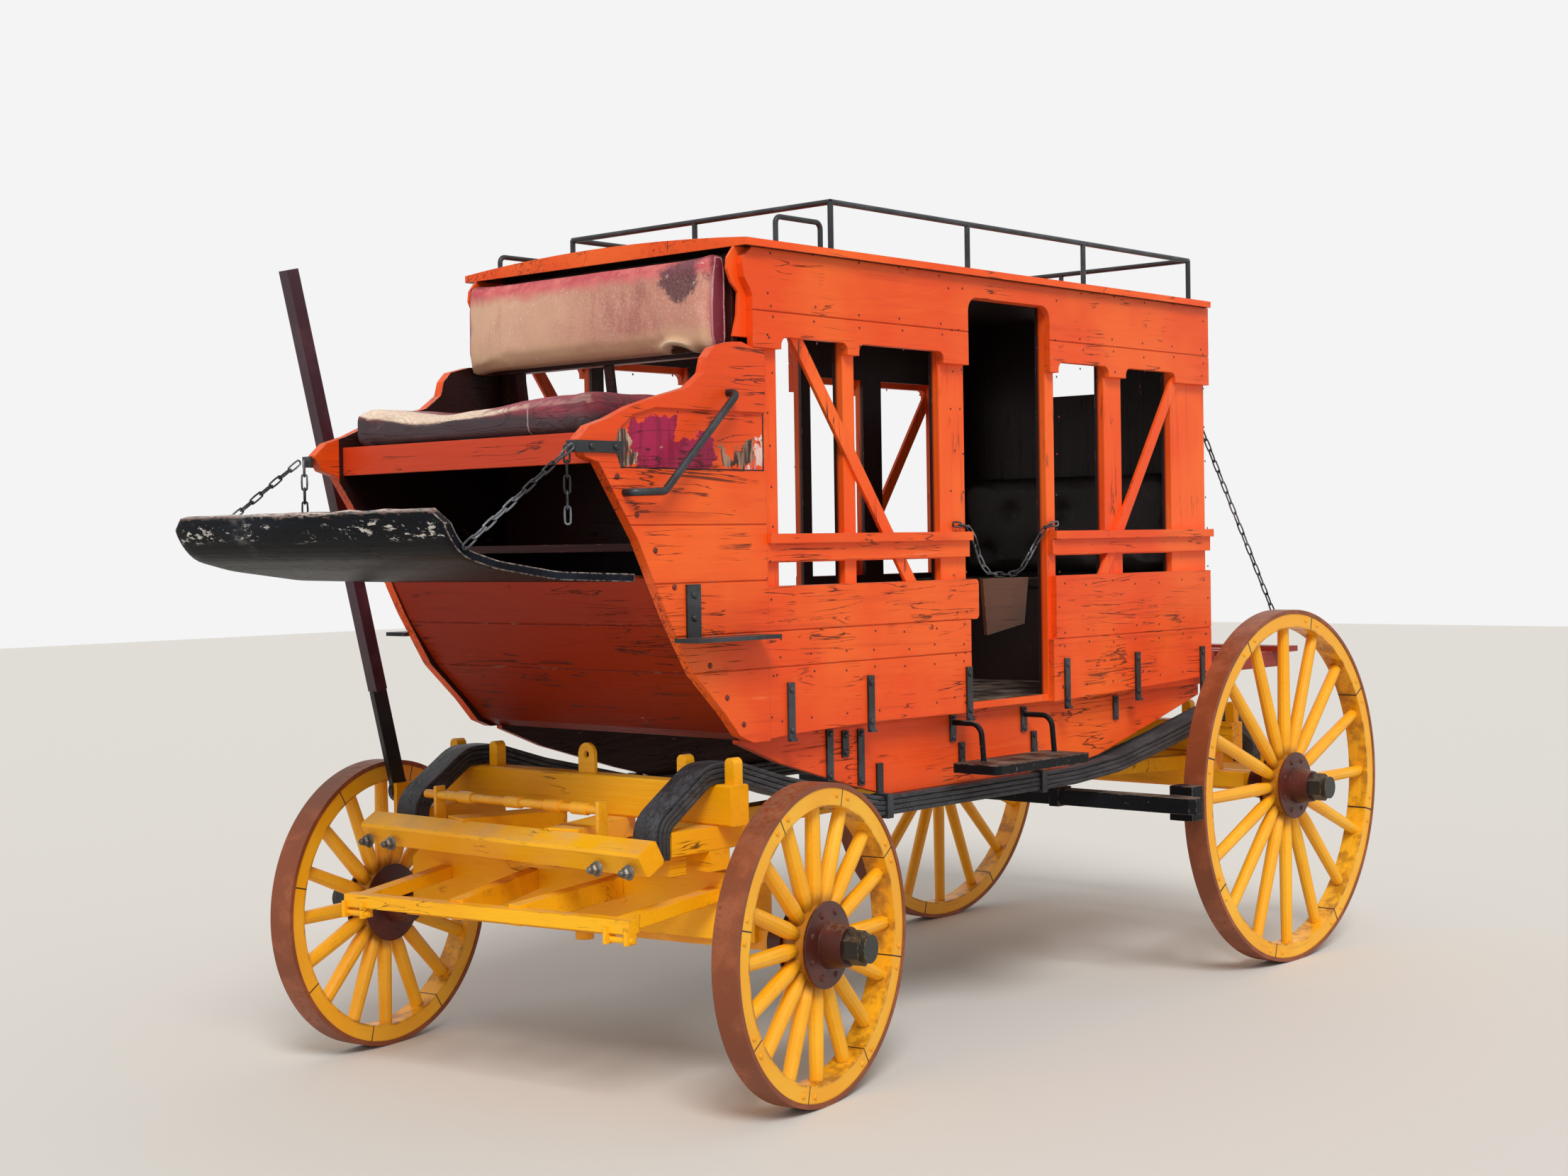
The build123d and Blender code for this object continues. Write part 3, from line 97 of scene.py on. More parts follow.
def at(x: float, y: float, z: float) -> Vector:
    """Gives the place of a point measured in millimetres from the kingpin's foot."""
    return Vector((x / 1000, y / 1000 + CENTRE_Y, z / 1000))


def held(value: float) -> float:
    """Holds a value between 0 and 1."""
    return min(max(value, 0.0), 1.0)


def ripple(x: float, y: float, z: float) -> float:
    """Gives a smooth random height, between about -1 and 1, for a place."""
    return noise.noise(Vector((x, y, z)))


def outward(sign: int) -> Matrix:
    """Turns what faces left so that it faces out from the side of the sign."""
    return Matrix.Rotation(0.0 if sign > 0 else math.pi, 4, "Z")


def bent(line: Sequence[tuple[float, float]], bend: float) -> list[Vector]:
    """Rounds the corners of a line of y and z places.

    Args:
        line: The line's corners in millimetres.
        bend: The radius of its bends.

    Returns:
        The places along the rounded line.
    """
    places = [Vector(place) for place in line]
    run = [places[0]]
    for before, corner, after in zip(places, places[1:], places[2:]):
        to, away = (before - corner).normalized(), (after - corner).normalized()
        turn = math.pi - to.angle(away)
        shorter = min((before - corner).length, (after - corner).length)
        reach = min(bend * math.tan(turn / 2) + 20, shorter / 2.01)
        start, end = corner + to * reach, corner + away * reach
        steps = max(3, round(math.degrees(turn) / 9))
        run += [(start * (1 - t) ** 2 + corner * (2 * t * (1 - t)) + end * t ** 2)
                for t in (step / steps for step in range(steps + 1))]
    run.append(places[-1])
    return run


class Grain(Enum):
    """The way that the wood's grain runs."""

    ACROSS = (0.06, 1.0, 1.0)
    ALONG = (1.0, 0.06, 1.0)
    UPRIGHT = (1.0, 1.0, 0.06)


class Sock:
    """One output of a shader node, on which arithmetic adds Math nodes."""

    def __init__(self, sheet: "Tree", plug: bpy.types.NodeSocket) -> None:
        """Keeps the node tree and the socket."""
        self.sheet = sheet
        self.plug = plug

    def _maths(self, operation: str, *parts: "Sock | float") -> "Sock":
        """Adds one Math node fed by the parts in order."""
        return self.sheet.node("ShaderNodeMath", {"operation": operation}, dict(enumerate(parts)))

    def __add__(self, other: "Sock | float") -> "Sock":
        """Adds."""
        return self._maths("ADD", self, other)

    __radd__ = __add__

    def __sub__(self, other: "Sock | float") -> "Sock":
        """Takes away."""
        return self._maths("SUBTRACT", self, other)

    def __rsub__(self, other: float) -> "Sock":
        """Takes this away from a number."""
        return self._maths("SUBTRACT", other, self)

    def __mul__(self, other: "Sock | float") -> "Sock":
        """Multiplies."""
        return self._maths("MULTIPLY", self, other)

    __rmul__ = __mul__

    def __truediv__(self, other: "Sock | float") -> "Sock":
        """Divides."""
        return self._maths("DIVIDE", self, other)

    def __pow__(self, other: float) -> "Sock":
        """Raises to a power."""
        return self._maths("POWER", self, other)

    def size(self) -> "Sock":
        """Drops the sign."""
        return self._maths("ABSOLUTE", self)

    def largest(self, other: "Sock | float") -> "Sock":
        """Takes the larger of two."""
        return self._maths("MAXIMUM", self, other)

    def step(self, low: float, high: float) -> "Sock":
        """Rises smoothly from 0 at low to 1 at high, or falls where low is the larger."""
        ends = (low, high, 0.0, 1.0) if low < high else (high, low, 1.0, 0.0)
        names = ("From Min", "From Max", "To Min", "To Max")
        return self.sheet.node("ShaderNodeMapRange", {"interpolation_type": "SMOOTHSTEP"},
                               {"Value": self, **dict(zip(names, ends))})

    def vein(self, wide: float, thin: float) -> "Sock":
        """Is 1 where a noise crosses its middle, and falls to 0 between a thin and a wide distance."""
        return (self - 0.5).size().step(wide, thin)

    def coated(self, share: "Sock | float", code: str) -> "Sock":
        """Lays a paint over this colour."""
        return self.sheet.mix(share, self, paint(code))


class Tree:
    """A tree of shader nodes."""

    def __init__(self, tree: bpy.types.NodeTree) -> None:
        """Takes a tree and empties it."""
        self.tree = tree
        self.tree.nodes.clear()

    def node(self, kind: str, settings: dict | None = None, feeds: dict | None = None,
             outlet: int | str = 0) -> Sock:
        """Adds any node.

        Args:
            kind: The node's type.
            settings: What is set on the node before its sockets.
            feeds: A value or a link for each socket, by its name or place.
            outlet: The output that is given back.

        Returns:
            The chosen output.
        """
        made = self.tree.nodes.new(kind)
        for key, value in (settings or {}).items():
            setattr(made, key, value)
        for key, value in (feeds or {}).items():
            if isinstance(value, Sock):
                self.tree.links.new(value.plug, made.inputs[key])
            else:
                made.inputs[key].default_value = value
        return Sock(self, made.outputs[outlet]) if made.outputs else Sock(self, made.inputs[0])


class Sheet(Tree):
    """The node tree of one material."""

    def __init__(self, name: str) -> None:
        """Starts an empty material."""
        self.material = bpy.data.materials.new(name)
        self.material.use_nodes = True
        super().__init__(self.material.node_tree)
        self.here = self.node("ShaderNodeTexCoord", outlet="Object")
        self.x, self.y, self.z = self.split(self.here)

    def split(self, vector: Sock) -> tuple[Sock, Sock, Sock]:
        """Gives the three parts of a vector."""
        made = self.node("ShaderNodeSeparateXYZ", feeds={0: vector}).plug.node
        return tuple(Sock(self, plug) for plug in made.outputs)

    def join(self, x: Sock | float, y: Sock | float, z: Sock | float) -> Sock:
        """Makes a vector of three parts."""
        return self.node("ShaderNodeCombineXYZ", feeds={0: x, 1: y, 2: z})

    def stretched(self, by: Sequence[float], vector: Sock | None = None) -> Sock:
        """Multiplies a vector part by part."""
        return self.node("ShaderNodeVectorMath", {"operation": "MULTIPLY"},
                         {0: vector or self.here, 1: tuple(by)})

    def noise(self, scale: float, vector: Sock | None = None, detail: float = 4.0, rough: float = 0.55,
              warp: float = 0.0) -> Sock:
        """Adds a noise between 0 and 1."""
        return self.node("ShaderNodeTexNoise", feeds={
            "Vector": vector or self.here, "Scale": scale, "Detail": detail, "Roughness": rough,
            "Distortion": warp})

    def cells(self, scale: float, feature: str = "F1") -> Sock:
        """Adds a cell pattern's distance."""
        return self.node("ShaderNodeTexVoronoi", {"feature": feature}, {"Vector": self.here, "Scale": scale})

    def pebble(self, scale: float, seam: float = 0.22) -> Sock:
        """Adds a leather's pebbled grain, which falls to 0 in the seams between its pebbles."""
        return self.cells(scale, "DISTANCE_TO_EDGE").step(0.0, seam)

    def mix(self, share: Sock | float, one: Sock | Colour, other: Sock | Colour, blend: str = "MIX") -> Sock:
        """Mixes two colours."""
        return self.node("ShaderNodeMix", {"data_type": "RGBA", "blend_type": blend, "clamp_factor": True},
                         {0: share, 6: one, 7: other}, outlet=2)

    def blend(self, share: Sock | float, one: str, other: str) -> Sock:
        """Mixes two written colours."""
        return self.mix(share, paint(one), paint(other))

    def upward(self) -> Sock:
        """Tells how far the surface faces up, from -1 to 1."""
        return self.split(self.node("ShaderNodeNewGeometry", outlet="Normal"))[2]

    def alike(self, one: Sock, other: Sock | tuple[float, ...]) -> Sock:
        """Tells how squarely two directions agree, from -1 to 1."""
        return self.node("ShaderNodeVectorMath", {"operation": "DOT_PRODUCT"}, {0: one, 1: other}, "Value")

    def facing(self, way: Sequence[float]) -> Sock:
        """Tells how squarely the surface faces a direction, from -1 to 1."""
        return self.alike(self.node("ShaderNodeNewGeometry", outlet="True Normal"), tuple(way))

    def corners(self, reach: float) -> tuple[Sock, Sock]:
        """Finds a piece's corners.

        Args:
            reach: How far from a corner counts, in metres.

        Returns:
            A mask that is 1 along the corners, and the normal of the piece with its corners rounded.
        """
        eased = self.node("ShaderNodeBevel", {"samples": 4}, {"Radius": reach})
        flat = self.node("ShaderNodeNewGeometry", outlet="Normal")
        return self.alike(eased, flat).step(0.99, 0.88), eased

    def done(self, colour: Sock | Colour, rough: Sock | float, height: Sock | None = None,
             deep: float = 0.001, metal: Sock | float = 0.0, eased: Sock | None = None,
             **fixed: float) -> bpy.types.Material:
        """Closes the material.

        Args:
            colour: The surface's colour.
            rough: Its roughness.
            height: A height for the bump, from 0 to 1.
            deep: The bump's depth in metres.
            metal: How metallic the surface is.
            eased: The normal that the bump starts from.
            fixed: Values for other sockets, with underlines for spaces.

        Returns:
            The material.
        """
        feeds: dict = {"Base Color": colour, "Roughness": rough, "Metallic": metal}
        feeds |= {key.replace("_", " "): value for key, value in fixed.items()}
        if height is not None:
            bump = {"Height": height, "Distance": deep, "Strength": 1.0}
            feeds["Normal"] = self.node("ShaderNodeBump", feeds=bump | ({"Normal": eased} if eased else {}))
        shader = self.node("ShaderNodeBsdfPrincipled", feeds=feeds)
        self.node("ShaderNodeOutputMaterial", feeds={"Surface": shader})
        return self.material


@dataclass(frozen=True)
class Zone:
    """A part of a piece that is painted otherwise, or darkened as painted shade.

    Attributes:
        coat: Its colour.
        spans: Its reach along "x", "y", "z" or "side", the distance from the middle, in millimetres.
        streak: A second colour, in upright streaks.
        soft: How softly its edges fade, in millimetres.
        ragged: How far its edges wander, in millimetres.
        share: How fully it covers.
        facing: The direction that its surface faces, where only that side is painted.
    """

    coat: str
    spans: tuple[tuple[str, float, float], ...] = ()
    streak: str = ""
    soft: float = 1.0
    ragged: float = 0.0
    share: float = 1.0
    facing: tuple[float, float, float] | None = None

    def over(self, s: Sheet, colour: Sock | Colour) -> Sock:
        """Lays the zone over a colour.

        Args:
            s: The material's sheet.
            colour: What lies under it.

        Returns:
            The colour with the zone on it.
        """
        ways = {"x": s.x, "y": s.y - CENTRE_Y, "z": s.z, "side": s.x.size()}
        wander = (s.noise(13.0, detail=6.0, rough=0.62) - 0.5) * (self.ragged / 300) if self.ragged else 0.0
        mask = s.facing(self.facing).step(0.4, 0.8) if self.facing else None
        for name, low, high in self.spans:
            way = ways[name] + (0.0 if name == "side" else wander)
            begun = way.step((low - self.soft) / 1000, (low + self.soft) / 1000)
            part = begun * way.step((high + self.soft) / 1000, (high - self.soft) / 1000)
            mask = part if mask is None else mask * part
        coat: Sock | Colour = paint(self.coat)
        if self.streak:
            drip = s.noise(46.0, s.stretched((1.0, 1.0, 0.16)), 5.0, 0.65, 0.5)
            coat = s.blend(drip.step(0.42, 0.60), self.coat, self.streak)
        return s.mix(mask * self.share, colour, coat)


@dataclass(frozen=True)
class PaintedWood:
    """Painted planks or timbers: grain, cracks, chips down to bare wood and dust.

    Attributes:
        name: The material's name.
        coat: The paint.
        faded: The paint where the sun has bleached it.
        deep: The paint in its hollows and streaks.
        bare: The wood under the chips.
        grain: The way that the grain runs.
        chips: How much of the paint is gone, from 0 to 1.
        cracks: How much of it is cracked along the grain, from 0 to 1.
        gloss: The roughness of sound paint.
        worn: How much of the paint is gone from its corners, from 0 to 1.
        sheen: How strongly sound paint mirrors the room.
        rub: The paint where something has rubbed along it.
        zones: The parts that are painted otherwise, some of them darkened as painted shade.
        seams: The heights at which its planks meet, in millimetres.
    """

    name: str
    coat: str
    faded: str
    deep: str
    bare: str = "#C9A98C"
    grain: Grain = Grain.ALONG
    chips: float = 0.3
    cracks: float = 0.5
    gloss: float = 0.42
    worn: float = 0.35
    sheen: float = 0.3
    rub: str = "#FF9A70"
    zones: tuple[Zone, ...] = ()
    seams: tuple[float, ...] = ()

    def planks(self, s: Sheet) -> Sock:
        """Gives each plank between the seams a number of its own between 0 and 1."""
        count: Sock | float = 0.0
        for height in self.seams:
            count = s.z.step(height / 1000 - 0.0006, height / 1000 + 0.0006) + count
        return s.node("ShaderNodeTexWhiteNoise", {"noise_dimensions": "1D"}, {"W": count * 3.7})

    def made(self) -> bpy.types.Material:
        """Builds the material."""
        s = Sheet(self.name)
        shifted = s.here
        if self.seams:
            plank = self.planks(s)
            shift = s.join(0, plank * 9.0, 0)
            shifted = s.node("ShaderNodeVectorMath", {"operation": "ADD"}, {0: s.here, 1: shift})
        along = s.stretched(self.grain.value, shifted)
        cloud = s.noise(1.7, detail=3.0)
        corner, eased = s.corners(0.004)
        fibre = s.noise(95.0, along, 6.0, 0.6, 0.6)
        wave = s.noise(22.0, along, 4.0, 0.5, 1.2)
        streak = s.noise(38.0, along, 3.0)
        colour = s.blend(cloud.step(0.38, 0.66), self.coat, self.faded)
        if self.seams:
            colour = colour.coated(plank * 0.22, self.deep)
        colour = colour.coated(streak.step(0.54, 0.80) * 0.42, self.deep)
        colour = colour.coated(fibre.step(0.60, 0.80) * 0.34, self.deep)
        pale = s.noise(13.0, along, 5.0, 0.7, 0.8)
        colour = colour.coated(pale.step(0.56, 0.74) * 0.5, self.faded)
        colour = colour.coated(pale.step(0.66, 0.70) * fibre.step(0.46, 0.56) * 0.35, self.rub)
        for zone in self.zones:
            colour = zone.over(s, colour)
        lines = wave.vein(0.012, 0.002)
        split = s.noise(9.0, along, 5.0, 0.55, 1.8).vein(0.009, 0.0015)
        fine, wide = 0.13 * self.cracks, 0.16 * self.cracks
        lined = s.noise(5.0, detail=2.0).step(0.60 - fine, 0.70 - fine)
        cleft = s.noise(3.2, detail=3.0).step(0.66 - wide, 0.72 - wide)
        crack = (lines * lined).largest(split * cleft)
        flakes = s.noise(46.0, s.stretched([0.35 + 0.65 * part for part in self.grain.value]), 5.0, 0.65)
        patch = s.noise(3.1, detail=3.0).step(0.60 - 0.16 * self.chips, 0.72)
        chip = flakes.step(0.67 - 0.06 * self.chips, 0.69) * patch
        specks = s.noise(150.0, detail=2.0).step(0.74, 0.78)
        bare = s.blend(fibre, self.bare, self.deep)
        colour = colour.coated((crack * 0.85).largest(specks * 0.35), "#2A1410")
        rubbed = corner * flakes.step(0.62 - 0.16 * self.worn, 0.66 - 0.16 * self.worn)
        colour = s.mix(chip.largest(rubbed), colour, bare)
        dust = s.upward().step(0.5, 1.0) * s.noise(9.0, detail=5.0).step(0.35, 0.75) * 0.45
        colour = colour.coated(dust, "#B7A38C")
        height = fibre * 0.28 + wave * 0.45 + pale * 0.25 + 0.35 - crack * 0.6 - chip * 0.25 - rubbed * 0.2
        rough = (fibre * 0.18 + self.gloss - 0.06) + chip * 0.3 + dust * 0.4
        return s.done(colour, rough, height, 0.0034, eased=eased, Specular_IOR_Level=self.sheen)


@dataclass(frozen=True)
class ChippedBoard:
    """A black board with a turned-up lip, chipped white and rubbed pale along its edges.

    Attributes:
        name: The material's name.
        front: The lip's front in metres.
        crest: The height of its top.
    """

    name: str
    front: float
    crest: float

    def made(self) -> bpy.types.Material:
        """Builds the material."""
        s = Sheet(self.name)
        corner, eased = s.corners(0.007)
        long = s.stretched((0.4, 1.0, 1.0))
        cloud = s.noise(3.4, long, 4.0, 0.6)
        flake = s.noise(58.0, long, 5.0, 0.72)
        patchy = s.noise(7.0, long, 3.0, 0.6)
        fibre = s.noise(110.0, s.stretched((0.06, 1.0, 1.0)), 5.0, 0.6)
        down = s.z * -1 + self.crest
        back = s.y - self.front
        lip = back.step(0.10, 0.06)
        colour = s.blend(cloud.step(0.42, 0.64), "#0E1118", "#1C222C")
        colour = colour.coated(fibre.step(0.56, 0.76) * 0.5, "#050608")
        colour = colour.coated(s.facing((0.0, 0.0, -1.0)).step(0.2, 0.8) * 0.7, "#14100F")
        rubbed = s.blend(flake.step(0.40, 0.60), "#7E5A50", "#E2D6CC")
        rim = (down + (flake - 0.5) * 0.06 + (patchy - 0.5) * 0.03).step(0.020, 0.011) * lip
        edge = corner * (flake * 0.6 + patchy * 0.4).step(0.40, 0.50)
        band = (down - 0.062 + (patchy - 0.5) * 0.05).size().step(0.030, 0.014) * lip
        chips = flake.step(0.565, 0.585) * band * patchy.step(0.44, 0.52)
        strays = flake.step(0.70, 0.72) * cloud.step(0.45, 0.6)
        scuff = s.noise(5.0, detail=2.0).step(0.60, 0.68) * lip * flake.step(0.40, 0.56) * 0.55
        colour = colour.coated(scuff, "#6A6664")
        colour = s.mix(rim.largest(edge * 0.9), colour, rubbed)
        colour = colour.coated(chips.largest(strays), "#DAD3CC")
        line = s.noise(20.0, s.stretched((0.10, 1.0, 1.0)), 3.0, warp=1.0).vein(0.012, 0.002)
        colour = colour.coated(line * 0.7, "#020203")
        height = flake * 0.3 + fibre * 0.25 + cloud * 0.2 + 0.3 - chips * 0.4 - rim * 0.3 - line * 0.4
        rough = flake * 0.2 + 0.30 + chips * 0.3
        return s.done(colour, rough, height, 0.0022, eased=eased, Specular_IOR_Level=0.06)


@dataclass(frozen=True)
class WheelWood:
    """Painted wheel wood whose grain runs out along the spokes and round the rim.

    Attributes:
        name: The material's name.
        centre: The wheel's centre.
        turned: How far the wheel's axle is steered, in radians.
        rim: The rim's inner radius in metres.
    """

    name: str
    centre: Vector
    turned: float
    rim: float
    coat: str = "#F5A90E"
    faded: str = "#FAB824"
    deep: str = "#C26E08"

    def made(self) -> bpy.types.Material:
        """Builds the material."""
        s = Sheet(self.name)
        c, n = math.cos(self.turned), math.sin(self.turned)
        dx, dy = s.x - self.centre.x, s.y - self.centre.y
        side = dx * c + dy * n
        fore = dy * c - dx * n
        rise = s.z - self.centre.z
        out = (fore * fore + rise * rise) ** 0.5
        turn = s.node("ShaderNodeMath", {"operation": "ARCTAN2"}, {0: rise, 1: fore})
        on_rim = out.step(self.rim - 0.004, self.rim)
        ways = (s.join(turn * out, out * 0.07, side), s.join(turn * 0.04, out, side))
        spokes, ring = (s.noise(85.0, way, 5.0, 0.6, 0.4) for way in ways)
        fibre = spokes * (1 - on_rim) + ring * on_rim
        cloud = s.noise(3.0, detail=3.0)
        felloe = turn * (FELLOES / math.tau) + JOINT_SHARE
        joint = (felloe - s.node("ShaderNodeMath", {"operation": "ROUND"}, {0: felloe})).size()
        gap = joint.step(0.010, 0.003) * on_rim
        # Painted shade: the spokes darken towards the hub.
        foot = out.step(0.155, 0.115)
        colour = s.blend(cloud.step(0.4, 0.68), self.coat, self.faded)
        colour = colour.coated(fibre.step(0.56, 0.8) * 0.5, self.deep)
        grime = s.noise(14.0, detail=5.0, rough=0.65)
        edge = (out - self.rim).size().step(0.010, 0.002) * grime.step(0.42, 0.62)
        # Brown at the hub ends of the spokes is painted shade; at the rim's inner edge it is real wear.
        colour = colour.coated((foot * 0.65).largest(edge * 0.6), "#8A4A14")
        chip = s.noise(60.0, detail=4.0, rough=0.7).step(0.70, 0.73) * grime.step(0.50, 0.66)
        colour = colour.coated(chip, "#6B3B1A")
        colour = colour.coated(gap, "#3A1F0C")
        corner, eased = s.corners(0.004)
        rubbed = corner * grime.step(0.50, 0.58)
        colour = colour.coated(rubbed * 0.75, "#7A4518")
        height = fibre * 0.4 + cloud * 0.3 - gap * 0.8 - chip * 0.25 + 0.4
        rough = fibre * 0.15 + 0.32 + chip * 0.2
        return s.done(colour, rough, height, 0.0014, eased=eased, Specular_IOR_Level=0.45)


@dataclass(frozen=True)
class Iron:
    """Worn iron: paint or bare skin with pits, scuffs and rust.

    Attributes:
        name: The material's name.
        skin: The main colour.
        worn: The colour of rubbed places.
        rust: The colour of the rust.
        rusted: How much rust there is, from 0 to 1.
        metal: How metallic the skin is.
        gloss: Its roughness.
        zones: The parts that are painted otherwise.
    """

    name: str
    skin: str
    worn: str
    rust: str = "#6A3218"
    rusted: float = 0.3
    metal: float = 0.0
    gloss: float = 0.45
    zones: tuple[Zone, ...] = ()

    def made(self) -> bpy.types.Material:
        """Builds the material."""
        s = Sheet(self.name)
        corner, eased = s.corners(0.002)
        broad = s.noise(7.0, detail=5.0, rough=0.6)
        fine = s.noise(70.0, detail=5.0, rough=0.65)
        pits = s.cells(260.0).step(0.30, 0.12)
        colour = s.blend(broad.step(0.45, 0.62), self.skin, self.worn)
        for zone in self.zones:
            colour = zone.over(s, colour)
        colour = colour.coated(corner * fine.step(0.40, 0.60) * 0.6, self.worn)
        rusty = (broad * 0.5 + fine * 0.5).step(0.60 - 0.14 * self.rusted, 0.72 - 0.14 * self.rusted)
        colour = colour.coated(rusty * (0.25 + 0.6 * self.rusted), self.rust)
        colour = colour.coated(pits * 0.3, "#120C0A")
        dust = s.upward().step(0.6, 1.0) * fine.step(0.35, 0.7) * 0.35
        colour = colour.coated(dust, "#9A8873")
        height = fine * 0.5 + 0.5 - pits * 0.3 + rusty * 0.15
        rough = rusty * 0.3 + fine * 0.16 + (self.gloss - 0.08) + dust * 0.3
        return s.done(colour, rough, height, 0.0007, (1 - rusty) * self.metal if self.metal else 0.0, eased,
                      Specular_IOR_Level=0.45)


@dataclass(frozen=True)
class Hide:
    """Leather or leather cloth: pebbled grain, creases, fading and worn places.

    Attributes:
        name: The material's name.
        skin: The sound colour.
        faded: The bleached colour.
        dark: The colour of hollows and grime.
        fade: How much of it is bleached, from 0 to 1.
        gloss: Its roughness.
    """

    name: str
    skin: str
    faded: str
    dark: str
    fade: float = 0.4
    gloss: float = 0.45

    def made(self) -> bpy.types.Material:
        """Builds the material."""
        s = Sheet(self.name)
        pebble = s.pebble(620.0)
        cloud = s.noise(4.5, detail=5.0, rough=0.6)
        crease = s.noise(9.0, detail=3.0, warp=1.6).vein(0.03, 0.004)
        scuff = s.noise(55.0, detail=5.0, rough=0.7)
        sunned = cloud.step(0.62 - 0.3 * self.fade, 0.80 - 0.25 * self.fade)
        colour = s.blend(sunned, self.skin, self.faded)
        colour = colour.coated(scuff.step(0.58, 0.74) * 0.45, self.faded)
        colour = colour.coated((crease * 0.5).largest((1 - pebble) * 0.35), self.dark)
        height = pebble * 0.22 + scuff * 0.28 + 0.5 - crease * 0.4
        return s.done(colour, scuff * 0.25 + self.gloss - 0.1, height, 0.0009, Specular_IOR_Level=0.45)


@dataclass(frozen=True)
class SeatHide:
    """The seat cushion's torn cover: grimy front with a painted highlight and painted sheen streaks, wine-red
    top, and pale wadding where the skin is gone.

    Attributes:
        name: The material's name.
        front: The cushion's front in metres.
        base: The height of its underside.
        skin: The sound colour.
        grime: The colour of the handled lower front.
        bleached: The paler skin, painted as a highlight over the left half and as sun-faded skin at the upper
            right end.
        wadding: The stuffing that shows.
    """

    name: str
    front: float
    base: float
    skin: str = "#8E2C3A"
    grime: str = "#3E3238"
    bleached: str = "#C24A60"
    wadding: str = "#EFE0CC"

    def made(self) -> bpy.types.Material:
        """Builds the material."""
        s = Sheet(self.name)
        cloud = s.noise(5.0, detail=5.0, rough=0.6)
        long_streak = s.noise(7.0, s.stretched((0.22, 1.0, 1.6)), 5.0, 0.65, 0.8)
        pebble = s.pebble(560.0)
        scuff = s.noise(60.0, detail=5.0, rough=0.7)
        rise = s.z - self.base
        top = s.facing((0.0, 0.0, 1.0)).step(0.20, 0.42)
        rightward = s.x + (long_streak - 0.5) * 0.5
        colour = s.blend(cloud.step(0.46, 0.66), self.skin, "#6A2430")
        # Painted highlight: a lighter rose sheen over the cushion's left half.
        bright = rightward.step(0.02, 0.22) * (s.x - 0.50).step(0.0, -0.08)
        colour = colour.coated(bright * cloud.step(0.36, 0.52) * 0.75, self.bleached)
        sunned = (s.x + 0.51).step(0.06, 0.0) * rise.step(0.050, 0.09)
        colour = colour.coated(sunned * 0.5, self.bleached)
        reach = rise + (long_streak - 0.5) * 0.10 + rightward * 0.05
        low_front = (1 - top) * reach.step(0.088, 0.052)
        colour = colour.coated(low_front * 0.94, self.grime)
        # Painted highlight streaks: pale grey along the long streaks on the lower front.
        pale = long_streak.step(0.60, 0.68) * low_front * scuff.step(0.42, 0.6)
        colour = colour.coated(pale * 0.7, "#9A9096")
        ragged = s.y + (s.noise(26.0, detail=5.0, rough=0.75) - 0.5) * 0.08
        torn = top * (ragged - self.front).step(0.19, 0.15) * (s.x + (cloud - 0.5) * 0.3).step(0.10, 0.02)
        nearer = (s.x + (scuff - 0.5) * 0.4).step(0.32, 0.12) * 0.7 + 0.3
        rim = (ragged - self.front).step(0.050, 0.034) * top * nearer
        from_seam = s.noise(40.0, detail=4.0) * 0.02 + s.y * -1 + self.front + 0.47
        seam = from_seam.size().step(0.020, 0.008) * top
        wad = torn.largest(rim * 0.9).largest(seam * (s.x + 0.02).step(0.0, 0.1))
        tufts = s.noise(120.0, detail=6.0, rough=0.75)
        wadding = s.blend(tufts.step(0.35, 0.65), "#D9B296", self.wadding)
        colour = s.mix(wad, colour, wadding)
        crease = s.noise(6.0, s.stretched((0.5, 1.0, 2.4)), 3.0, warp=1.2).vein(0.028, 0.004)
        colour = colour.coated(crease * 0.35 * (1 - wad), "#1C0C10")
        stitch = (s.x - 0.252 + (scuff - 0.5) * 0.012).size().step(0.004, 0.0015) * (1 - top)
        colour = colour.coated(stitch * 0.7, "#E8C4BE")
        fold = s.noise(4.2, s.stretched((0.35, 1.0, 3.0)), 3.0, 0.5, 0.9)
        height = pebble * 0.06 * (1 - wad) + scuff * 0.08 + 0.4 - crease * 0.15
        height = height + tufts * 0.12 * wad + fold * 0.9
        return s.done(colour, scuff * 0.25 + 0.26 + wad * 0.4, height, 0.012, Specular_IOR_Level=0.5)


